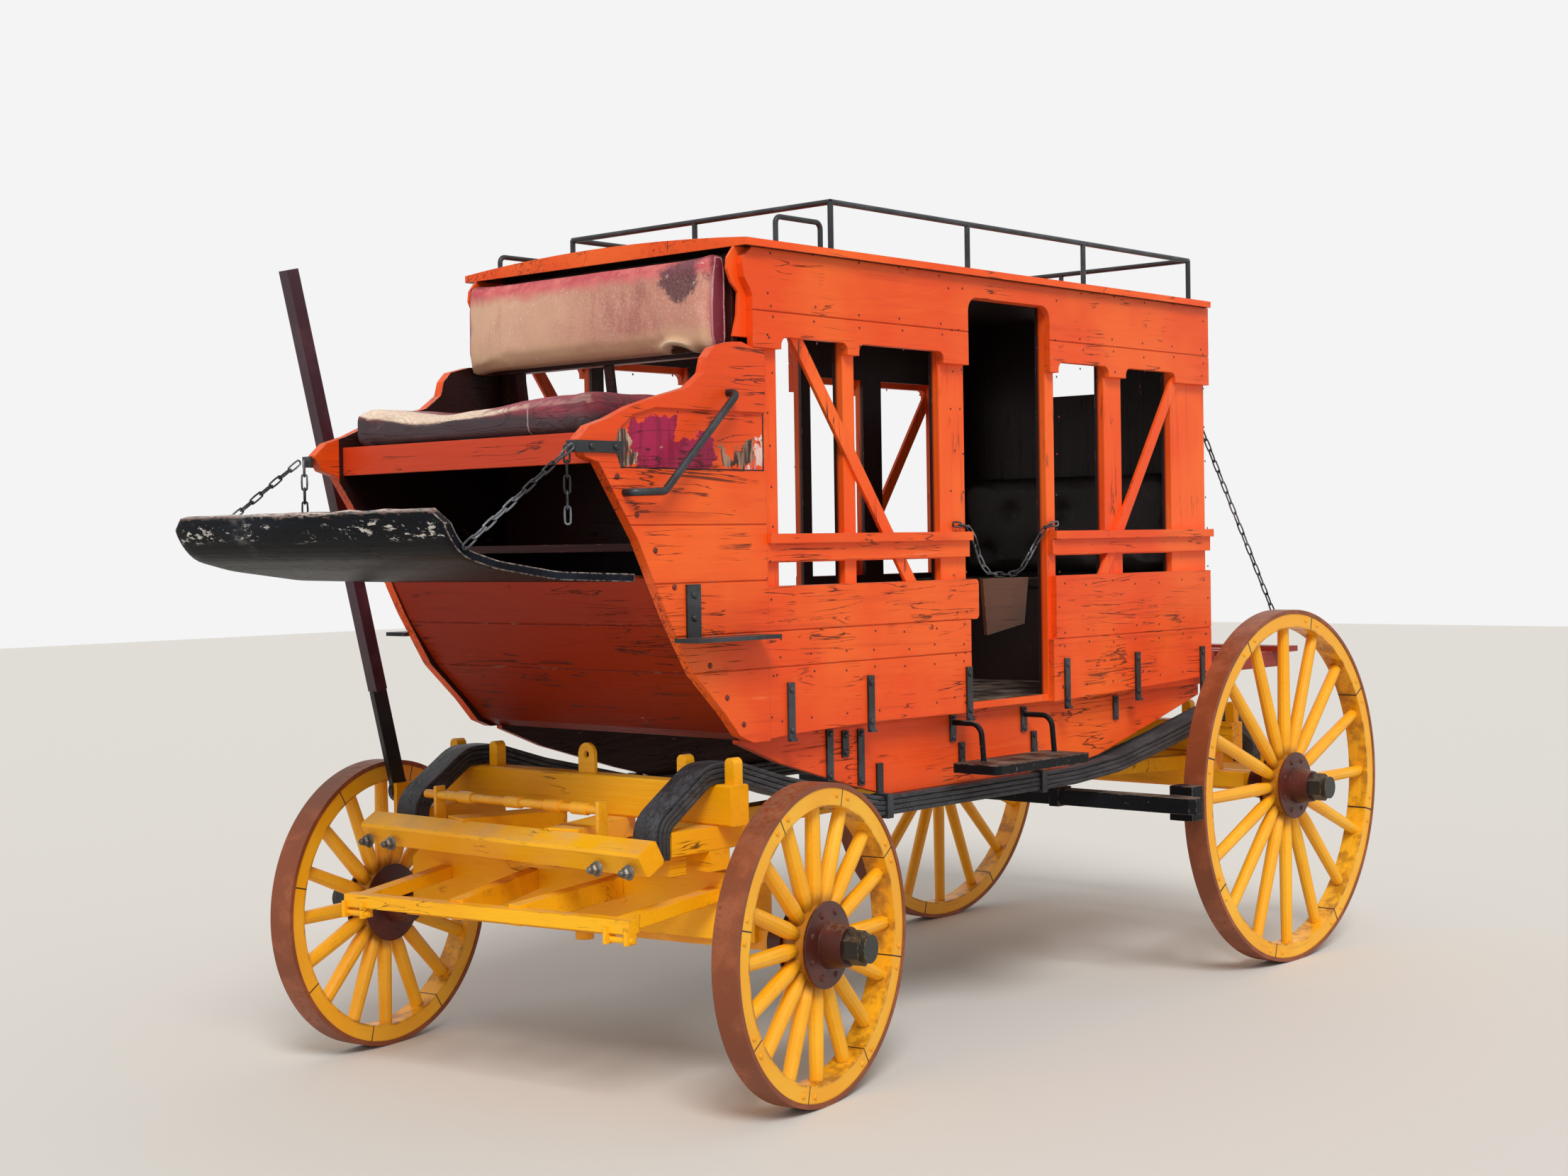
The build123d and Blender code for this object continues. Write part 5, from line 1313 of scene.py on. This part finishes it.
    def bench(self) -> None:
        """Makes the buttoned back of the rear bench."""
        low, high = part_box("rear_back_pad")
        piece = Bench.slab("rear_bench_back", low + Vector((0.012, 0.012, 0.004)),
                           high - Vector((0.012, 0.004, 0.012)), 0.034, 3)
        self.swell(piece, low, high, 0.016)
        rows = ((1.53, (-0.36, -0.12, 0.12, 0.36)), (1.68, (-0.24, 0.0, 0.24)))
        buttons = [(x, z) for z, across in rows for x in across]
        for vertex in piece.data.vertices:
            spot = vertex.co
            corner = max(abs(spot.x) - (high.x - 0.10), 0.0) * max(spot.z - (high.z - 0.10), 0.0)
            spot.z -= min(corner * 6.0, 0.06)
            if spot.y < high.y - 0.03:
                pull = sum(math.exp(-((spot.x - x) ** 2 + (spot.z - z) ** 2) / 0.0016) for x, z in buttons)
                spot.y += 0.024 * min(pull, 1.0)
        self.finish(piece, "rear_back_pad", "bench_leather", "bench_leather", 0.7)


@dataclass
class LeatherBands:
    """The layered leather bands that the body hangs on, looped over both standing beams.

    Attributes:
        plies: How many layers of leather a band has.
        width: A band's width in metres.
        thick: Its thickness.
        across: How far its middle lies from the coach's middle.
        bend: The radius of its bends.
        line: The y and z places of its middle line, in millimetres.
    """

    paints: Paints
    plies: int = 4
    width: float = 0.094
    thick: float = 0.060
    across: float = 0.515
    bend: float = 0.038
    line: tuple[tuple[float, float], ...] = (
        (-228, 705), (-228, 800), (-35, 927.3), (79, 927.3), (278, 867), (740, 759.7), (1800, 759.7),
        (2078, 778), (2400, 835), (2744, 906.3), (2860, 906.3), (3053, 790), (3053, 700))

    def build(self) -> None:
        """Makes both bands."""
        for side, sign in SIDES:
            self.band(side, sign)

    def band(self, side: str, sign: int) -> None:
        """Makes one band of plies whose edges never quite line up."""
        drawn = random.Random(7 + sign)
        middle = [at(0, spot.x, spot.y) for spot in bent(self.line, self.bend * 1000)]
        layers = []
        each = self.thick / self.plies
        for ply in range(self.plies):
            off = (ply + 0.5) * each - self.thick / 2
            path = []
            for place, spot in enumerate(middle):
                before, after = middle[max(place - 1, 0)], middle[min(place + 1, len(middle) - 1)]
                run = (after - before).normalized()
                path.append(spot + Vector((0, run.z, -run.y)) * -off)
            width = self.width - drawn.uniform(0.0, 0.007)
            strip = Bench.strip(f"ply_{side}_{ply}", path, width, each - 0.0012)
            wander = drawn.uniform(0, 50)
            for vertex in strip.data.vertices:
                wave = ripple(wander, vertex.co.y * 3.0, vertex.co.z * 3.0)
                vertex.co.x += sign * self.across + wave * 0.0022
            layers.append(Bench.eased(strip, 0.0028))
        piece = Bench.smooth(Bench.joined(f"leather_band_{side}", layers), 50.0)
        self.paints.dress(piece, "band_leather")
        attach(piece, "coach")
        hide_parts(f"thoroughbrace_{side}")
        tell(piece)


@dataclass
class Footboard:
    """The driver's footboard, bent up into a lip at its front.

    Attributes:
        line: The y and z places of its middle line, in millimetres.
        thick: Its thickness in metres.
        root: Half its width where it leaves the boot.
        tip: Half its width at the lip.
        top: The height above which the lip's corners are cut away.
    """

    paints: Paints
    line: tuple[tuple[float, float], ...] = (
        (-300, 1488), (-598, 1500), (-822, 1532), (-940, 1564), (-983, 1616), (-1003, 1679))
    thick: float = 0.0225
    root: float = 0.542
    tip: float = 0.588
    top: float = 1.640

    def build(self) -> None:
        """Makes the board."""
        middle = [at(0, spot.x, spot.y) for spot in bent(self.line, 110.0)]
        middle[-1:] = [middle[-2].lerp(middle[-1], part) for part in (0.25, 0.5, 0.75, 1.0)]
        piece = Bench.strip("footboard_planks", middle, self.tip * 2, self.thick)
        heel, widening = CENTRE_Y - 0.345, 0.585
        Bench.alone(piece)
        with editing():
            bpy.ops.mesh.select_all(action="DESELECT")
        for edge in piece.data.edges:
            a, b = (piece.data.vertices[n].co for n in edge.vertices)
            edge.select = abs(a.x - b.x) > self.tip
        with editing():
            bpy.ops.mesh.select_mode(type="EDGE")
            bpy.ops.mesh.subdivide(number_cuts=30)
        for vertex in piece.data.vertices:
            spot = vertex.co
            fore = held((heel - spot.y) / widening)
            half = self.root + (self.tip - self.root) * fore - max(spot.z - self.top, 0.0) * 1.15
            spot.x *= half / self.tip
            if abs(spot.x) > half - 0.001:
                frayed = ripple(spot.x, spot.y * 16, spot.z * 16) * 0.0018
                spot.x += frayed - math.copysign(0.002, spot.x)
            lip = held((spot.z - self.top) / 0.04)
            spot.z += lip * (ripple(spot.x * 13, 2.0, 5.0) * 0.004 - 0.004)
            spot.y += lip * ripple(spot.x * 4, 8.0, 1.0) * 0.002 + lip * 0.002
        Bench.smooth(Bench.eased(piece, 0.003), 45.0)
        self.paints.dress(piece, "lip_board")
        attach(piece, "coach")
        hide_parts("footboard")
        tell(piece)


@dataclass
class Chains:
    """Wrought chains of oval links, each a quarter turn from the last.

    Attributes:
        wire: Half the thickness of a link's wire, in metres.
        width: A link's outer width.
        straight: Each straight chain's count of links, start and end on the left side, in millimetres.
        door: The y and z places that the chain across the doorway hangs through.
        door_links: How many links it has.
    """

    paints: Paints
    wire: float = 0.003
    width: float = 0.022
    straight: tuple[tuple[int, tuple[float, float, float], tuple[float, float, float]], ...] = (
        (11, (591.3, -570.1, 1840), (591.3, -945, 1578)), (5, (568, -569.3, 1840), (568, -569.3, 1638)),
        (21, (545, 2690.2, 1979), (530, 3340, 1149.3)))
    door: tuple[tuple[float, float], ...] = (
        (1104, 1628), (1194, 1624), (1268, 1462), (1462, 1462), (1620, 1624), (1690, 1628))
    door_links: int = 19

    def build(self) -> None:
        """Makes the stays of the footboard and the rack, and the chain across the doorway."""
        runs = []
        for count, start, end in self.straight:
            first, last = at(*start), at(*end)
            run = [first.lerp(last, step / count) for step in range(count + 1)]
            runs += [run, [Vector((-spot.x, spot.y, spot.z)) for spot in run]]
        self.hang("stays", runs, "stay_chains")
        low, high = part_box("door_chain")
        line = [at((low.x + high.x) * 500, spot.x, spot.y) for spot in bent(self.door, 70.0)]
        self.hang("doorway", [self.shared(line, self.door_links)], "door_chain")

    @staticmethod
    def shared(line: Sequence[Vector], count: int) -> list[Vector]:
        """Shares a bent line out into equal steps."""
        lengths = [0.0]
        for before, after in zip(line, line[1:]):
            lengths.append(lengths[-1] + (after - before).length)
        places = []
        for step in range(count + 1):
            reach = min(lengths[-1] * step / count, lengths[-1] - 1e-7)
            part = max(n for n, length in enumerate(lengths[:-1]) if length <= reach)
            share = (reach - lengths[part]) / (lengths[part + 1] - lengths[part])
            places.append(line[part].lerp(line[part + 1], share))
        return places

    def link(self, reach: float) -> bpy.types.Object:
        """Makes one oval link about the origin, long along Y.

        Args:
            reach: The clear length within it.

        Returns:
            The link.
        """
        Bench.alone()
        bpy.ops.mesh.primitive_torus_add(major_segments=14, minor_segments=8, minor_radius=self.wire,
                                         major_radius=self.width / 2 - self.wire)
        piece = bpy.context.object
        shift = reach / 2 - (self.width / 2 - 2 * self.wire)
        for end in (1, -1):
            for vertex in piece.data.vertices:
                vertex.select = vertex.co.y * end > 1e-4
            for edge in piece.data.edges:
                edge.select = all(piece.data.vertices[n].select for n in edge.vertices)
            for face in piece.data.polygons:
                face.select = all(piece.data.vertices[n].select for n in face.vertices)
            with editing():
                bpy.ops.mesh.select_mode(type="VERT")
                bpy.ops.transform.translate(value=(0, end * shift, 0))
        return Bench.settle(piece, "link")

    def hang(self, name: str, runs: Sequence[Sequence[Vector]], node: str) -> None:
        """Hangs links along every run of one node."""
        pieces = []
        for order, run in enumerate(runs):
            places = []
            for number, (start, end) in enumerate(zip(run, run[1:])):
                way = (end - start).normalized()
                hanging = abs(way.z) > 0.999
                aside = Vector((math.copysign(1, start.x), -1, 0)) if hanging else Vector((1, 0, 0))
                upright = way.cross(aside).normalized()
                face = upright if number % 2 else upright.cross(way).normalized()
                turn = Matrix((way.cross(face), way, face)).transposed().to_4x4()
                places.append(Matrix.Translation((start + end) / 2) @ turn)
            link = self.link((run[1] - run[0]).length + 0.0008)
            pieces.append(Bench.copies(f"{name}_{order}", link, places))
        piece = Bench.smooth(Bench.joined(f"{name}_links", pieces), 60.0)
        self.paints.dress(piece, "chain_iron")
        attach(piece, "coach")
        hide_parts(node)
        tell(piece)


@dataclass
class Fasteners:
    """Bolt heads, hook bolts, felloe rivets and nails that hold the coach together.

    Attributes:
        low_straps: The y, foot and top of each strap on the curved boards.
        rake: The y and z of each bolt along the boot's slanting edge.
    """

    paints: Paints
    low_straps: tuple[tuple[float, float, float], ...] = (
        (527, 856, 1013), (600, 923, 1003), (675, 830, 1002), (1144, 927, 1014), (1190, 846, 922),
        (1540, 930, 1014), (1597, 848, 928), (2105, 930, 1015))
    rake: tuple[tuple[float, float], ...] = (
        (-402, 1762), (-330, 1660), (-262, 1562), (-190, 1460), (-118, 1330), (-52, 1236), (16, 1142),
        (84, 1062))

    def build(self) -> None:
        """Sets every fastener."""
        self.hubs()
        self.straps()
        self.hook_bolts()
        self.boot_edges()
        self.nails()

    def settle(self, piece: bpy.types.Object, body: str, finish: str, slot: str) -> None:
        """Dresses a set of fasteners and sends it with its body."""
        Bench.smooth(piece, 35.0)
        self.paints.dress(piece, finish)
        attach(piece, body)
        tell(piece)

    def hubs(self) -> None:
        """Sets eight bolt heads on each hub's outer flange and two rivets at each felloe joint."""
        for pair in WHEEL_PAIRS:
            for side, sign in SIDES:
                wheel = pair.place(sign)
                bolts = [wheel @ self.around(n + 0.5, HUB_BOLTS, 0.0, 0.0465, 0.094)
                         for n in range(HUB_BOLTS)]
                head = Bench.head("bolt", 0.0105, 0.008, 8, 0.5)
                heads = Bench.copies(f"hub_bolts_{pair.end}_{side}", head, bolts)
                self.settle(heads, f"{pair.end}_wheel_{side}", "hub_iron", "hub_iron")
                pins = [wheel @ self.around(n, FELLOES, shift - JOINT_TURN, 0.0378, pair.rim + 0.030)
                        for n in range(FELLOES) for shift in (-0.075, 0.075)]
                head = Bench.head("rivet", 0.0085, 0.005, 8, 0.5)
                rivets = Bench.copies(f"felloe_rivets_{pair.end}_{side}", head, pins)
                self.settle(rivets, f"{pair.end}_wheel_{side}", "yellow_iron", "yellow_wood")

    @staticmethod
    def around(step: float, count: int, shift: float, out: float, radius: float) -> Matrix:
        """Gives a place on a ring round the wheel's axle.

        Args:
            step: Which step of the ring it is.
            count: How many steps the ring has.
            shift: How far the ring is turned on, in radians.
            out: How far out along the axle it lies.
            radius: The ring's radius.

        Returns:
            The place, facing out.
        """
        turn = Matrix.Rotation(math.tau * step / count + shift, 4, "X")
        return turn @ Matrix.Translation((out, 0, radius))

    def straps(self) -> None:
        """Bolts every strap of the side boards and the boot."""
        posts = (286.0, 655.0, 1156.0, 1715.0, 2159.5, 2604.0)
        spots = [(STRAP_FACE, y, z) for y in posts for z in (1030.0, 1148.0)]
        spots += [(LOW_FACE, y, z) for y, foot, top in self.low_straps for z in (foot + 14, top - 14)]
        spots += [(STRAP_FACE, -119.0, z) for z in (1372.0, 1436.0)]
        spots += [(STRAP_FACE, y, 1840.0) for y in (-410.0, -500.0)]
        places = [self.beside(sign, *spot) for _, sign in SIDES for spot in spots]
        heads = Bench.copies("strap_bolts", Bench.head("strap_bolt", 0.010, 0.006, 8, 0.5), places)
        self.settle(heads, "coach", "black_iron", "black_iron")

    @staticmethod
    def beside(sign: int, x: float, y: float, z: float) -> Matrix:
        """Gives a place on one side of the coach, facing out."""
        return Matrix.Translation(at(sign * x, y, z)) @ outward(sign)

    def hook_bolts(self) -> None:
        """Puts the four bright hook bolts through the front timber, each nut on its washer."""
        turn = Matrix.Rotation(-math.pi / 2, 4, "Z")
        washer = Bench.head("washer", 0.022, 0.004, 14, 0.1)
        nut = Bench.head("nut", 0.017, 0.018, 6, 0.3)
        nut.data.transform(Matrix.Translation((0.0035, 0, 0)))
        shank = Bench.head("shank", 0.010, 0.036, 10, 0.4)
        pattern = Bench.joined("hook_bolt", [washer, nut, shank])
        places = [Matrix.Translation(at(x, -365, 692)) @ turn for x in (-558, -451, 441, 564)]
        self.settle(Bench.copies("hook_bolts", pattern, places), "coach", "grey_iron", "grey_iron")

    def boot_edges(self) -> None:
        """Bolts the boot's sides along their slanting edges."""
        bolts = [self.beside(sign, BOARD_FACE, y, z) for _, sign in SIDES for y, z in self.rake]
        heads = Bench.copies("boot_edge_bolts", Bench.head("edge_bolt", 0.0085, 0.004, 8, 0.4), bolts)
        self.settle(heads, "coach", "nail_iron", "black_iron")

    def nails(self) -> None:
        """Drives the nails along the posts, rails and plank ends of both sides."""
        drawn = random.Random(31)
        rows = [(218, z) for z in range(1080, 2400, 110)]
        rows += [(y, z) for y in (1090, 1140, 1680, 2650) for z in range(1080, 2400, 130)]
        rows += [(y, z) for z in (1062, 1190, 1245, 1300) for y in range(240, 1150, 150)]
        rows += [(y, z) for z in (1075, 1215, 1260, 1420) for y in range(1700, 2640, 155)]
        rows += [(y, z) for z in (2165, 2225, 2265, 2420) for y in range(230, 2640, 200)]
        places = []
        for _, sign in SIDES:
            for y, z in rows:
                if self.open_at(y, z):
                    continue
                face = BOARD_FACE if z < FASCIA_FOOT else FASCIA_FACE
                places.append(self.beside(sign, face, y + drawn.uniform(-14, 14), z + drawn.uniform(-8, 8)))
        nails = Bench.copies("side_nails", Bench.head("nail", 0.0042, 0.0012, 6, 0.3), places)
        self.settle(nails, "coach", "nail_iron", "black_iron")

    @staticmethod
    def open_at(y: float, z: float) -> bool:
        """Tells whether the side is open at a place, or within 8 mm of a window."""
        foot, head = WINDOW_HEIGHTS
        beside_window = any(start - 8 < y < end + 8 for start, end in WINDOW_SPANS)
        return DOOR_SPAN[0] < y < DOOR_SPAN[1] or beside_window and foot < z < head


@dataclass
class Studio:
    """The pale floor, the soft light and the camera at the photograph's angle."""

    azimuth: float = math.radians(41.365)
    elevation: float = math.radians(1.151)
    roll: float = math.radians(-0.925)
    eye: tuple[float, float, float] = (4.797, -5.742, 1.574)
    lens: float = 50.346
    sensor: float = 36.0
    floor_size: float = 60.0

    def build(self) -> None:
        """Sets up the whole studio."""
        self.floor()
        self.lamps()
        self.camera()
        bpy.context.scene.view_settings.view_transform = "Standard"

    def floor(self) -> None:
        """Lays the plain pale floor."""
        bpy.ops.mesh.primitive_plane_add(size=self.floor_size, location=(0, 0, 0))
        plane = bpy.context.object
        plane.name = "studio_floor"
        s = Sheet("studio_floor")
        Paints.cover(plane, s.done(paint("#DAD6CF"), s.noise(3.0) * 0.1 + 0.8))

    def lamps(self) -> None:
        """Hangs one broad lamp at the camera's right and lights the rest from the pale room."""
        world = bpy.data.worlds.new("room")
        bpy.context.scene.world = world
        world.use_nodes = True
        room = Tree(world.node_tree)
        rays = ("Is Camera Ray", "Is Glossy Ray")
        seen, mirrored = (room.node("ShaderNodeLightPath", outlet=ray) for ray in rays)
        light = room.node("ShaderNodeBackground", feeds={"Color": paint("#F3F3F2"), "Strength": 0.62})
        shown = room.node("ShaderNodeBackground", feeds={"Color": paint("#F4F4F4"), "Strength": 1.0})
        both = room.node("ShaderNodeMixShader", feeds={0: seen.largest(mirrored), 1: light, 2: shown})
        room.node("ShaderNodeOutputWorld", feeds={"Surface": both})
        sun = bpy.data.lights.new("broad_lamp", "SUN")
        sun.energy = 2.1
        sun.angle = math.radians(22)
        way = Vector((0.70, -0.62, 0.95))
        self.held_up("broad_lamp", sun).rotation_euler = way.to_track_quat("Z", "Y").to_euler()

    @staticmethod
    def held_up(name: str, data: bpy.types.ID) -> bpy.types.Object:
        """Puts a lamp or a camera into the scene."""
        holder = bpy.data.objects.new(name, data)
        bpy.context.collection.objects.link(holder)
        return holder

    def camera(self) -> None:
        """Stands the camera where the photograph was taken."""
        az, el = self.azimuth, self.elevation
        back = Vector((math.sin(az) * math.cos(el), -math.cos(az) * math.cos(el), math.sin(el)))
        right = Vector((math.cos(az), math.sin(az), 0.0))
        up = back.cross(right)
        c, s = math.cos(self.roll), math.sin(self.roll)
        level = right * c + up * s
        upright = up * c - right * s
        turn = Matrix((level, upright, back)).transposed().to_4x4()
        data = bpy.data.cameras.new("camera")
        data.lens = self.lens
        data.sensor_width = self.sensor
        data.clip_end = 200.0
        holder = self.held_up("camera", data)
        holder.matrix_world = Matrix.Translation(self.eye) @ turn
        bpy.context.scene.camera = holder


def main() -> None:
    """Builds every sub-assembly in order."""
    logging.basicConfig(level=logging.INFO, format="%(message)s")
    paints = Paints()
    for finish, names in NODES_BY_FINISH.items():
        for name in names:
            paints.dress(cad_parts[name], finish)
    Wheels(paints).build()
    SeatPads(paints).build()
    LeatherBands(paints).build()
    Footboard(paints).build()
    Chains(paints).build()
    Fasteners(paints).build()
    Studio().build()


if __name__ == "__main__":
    main()
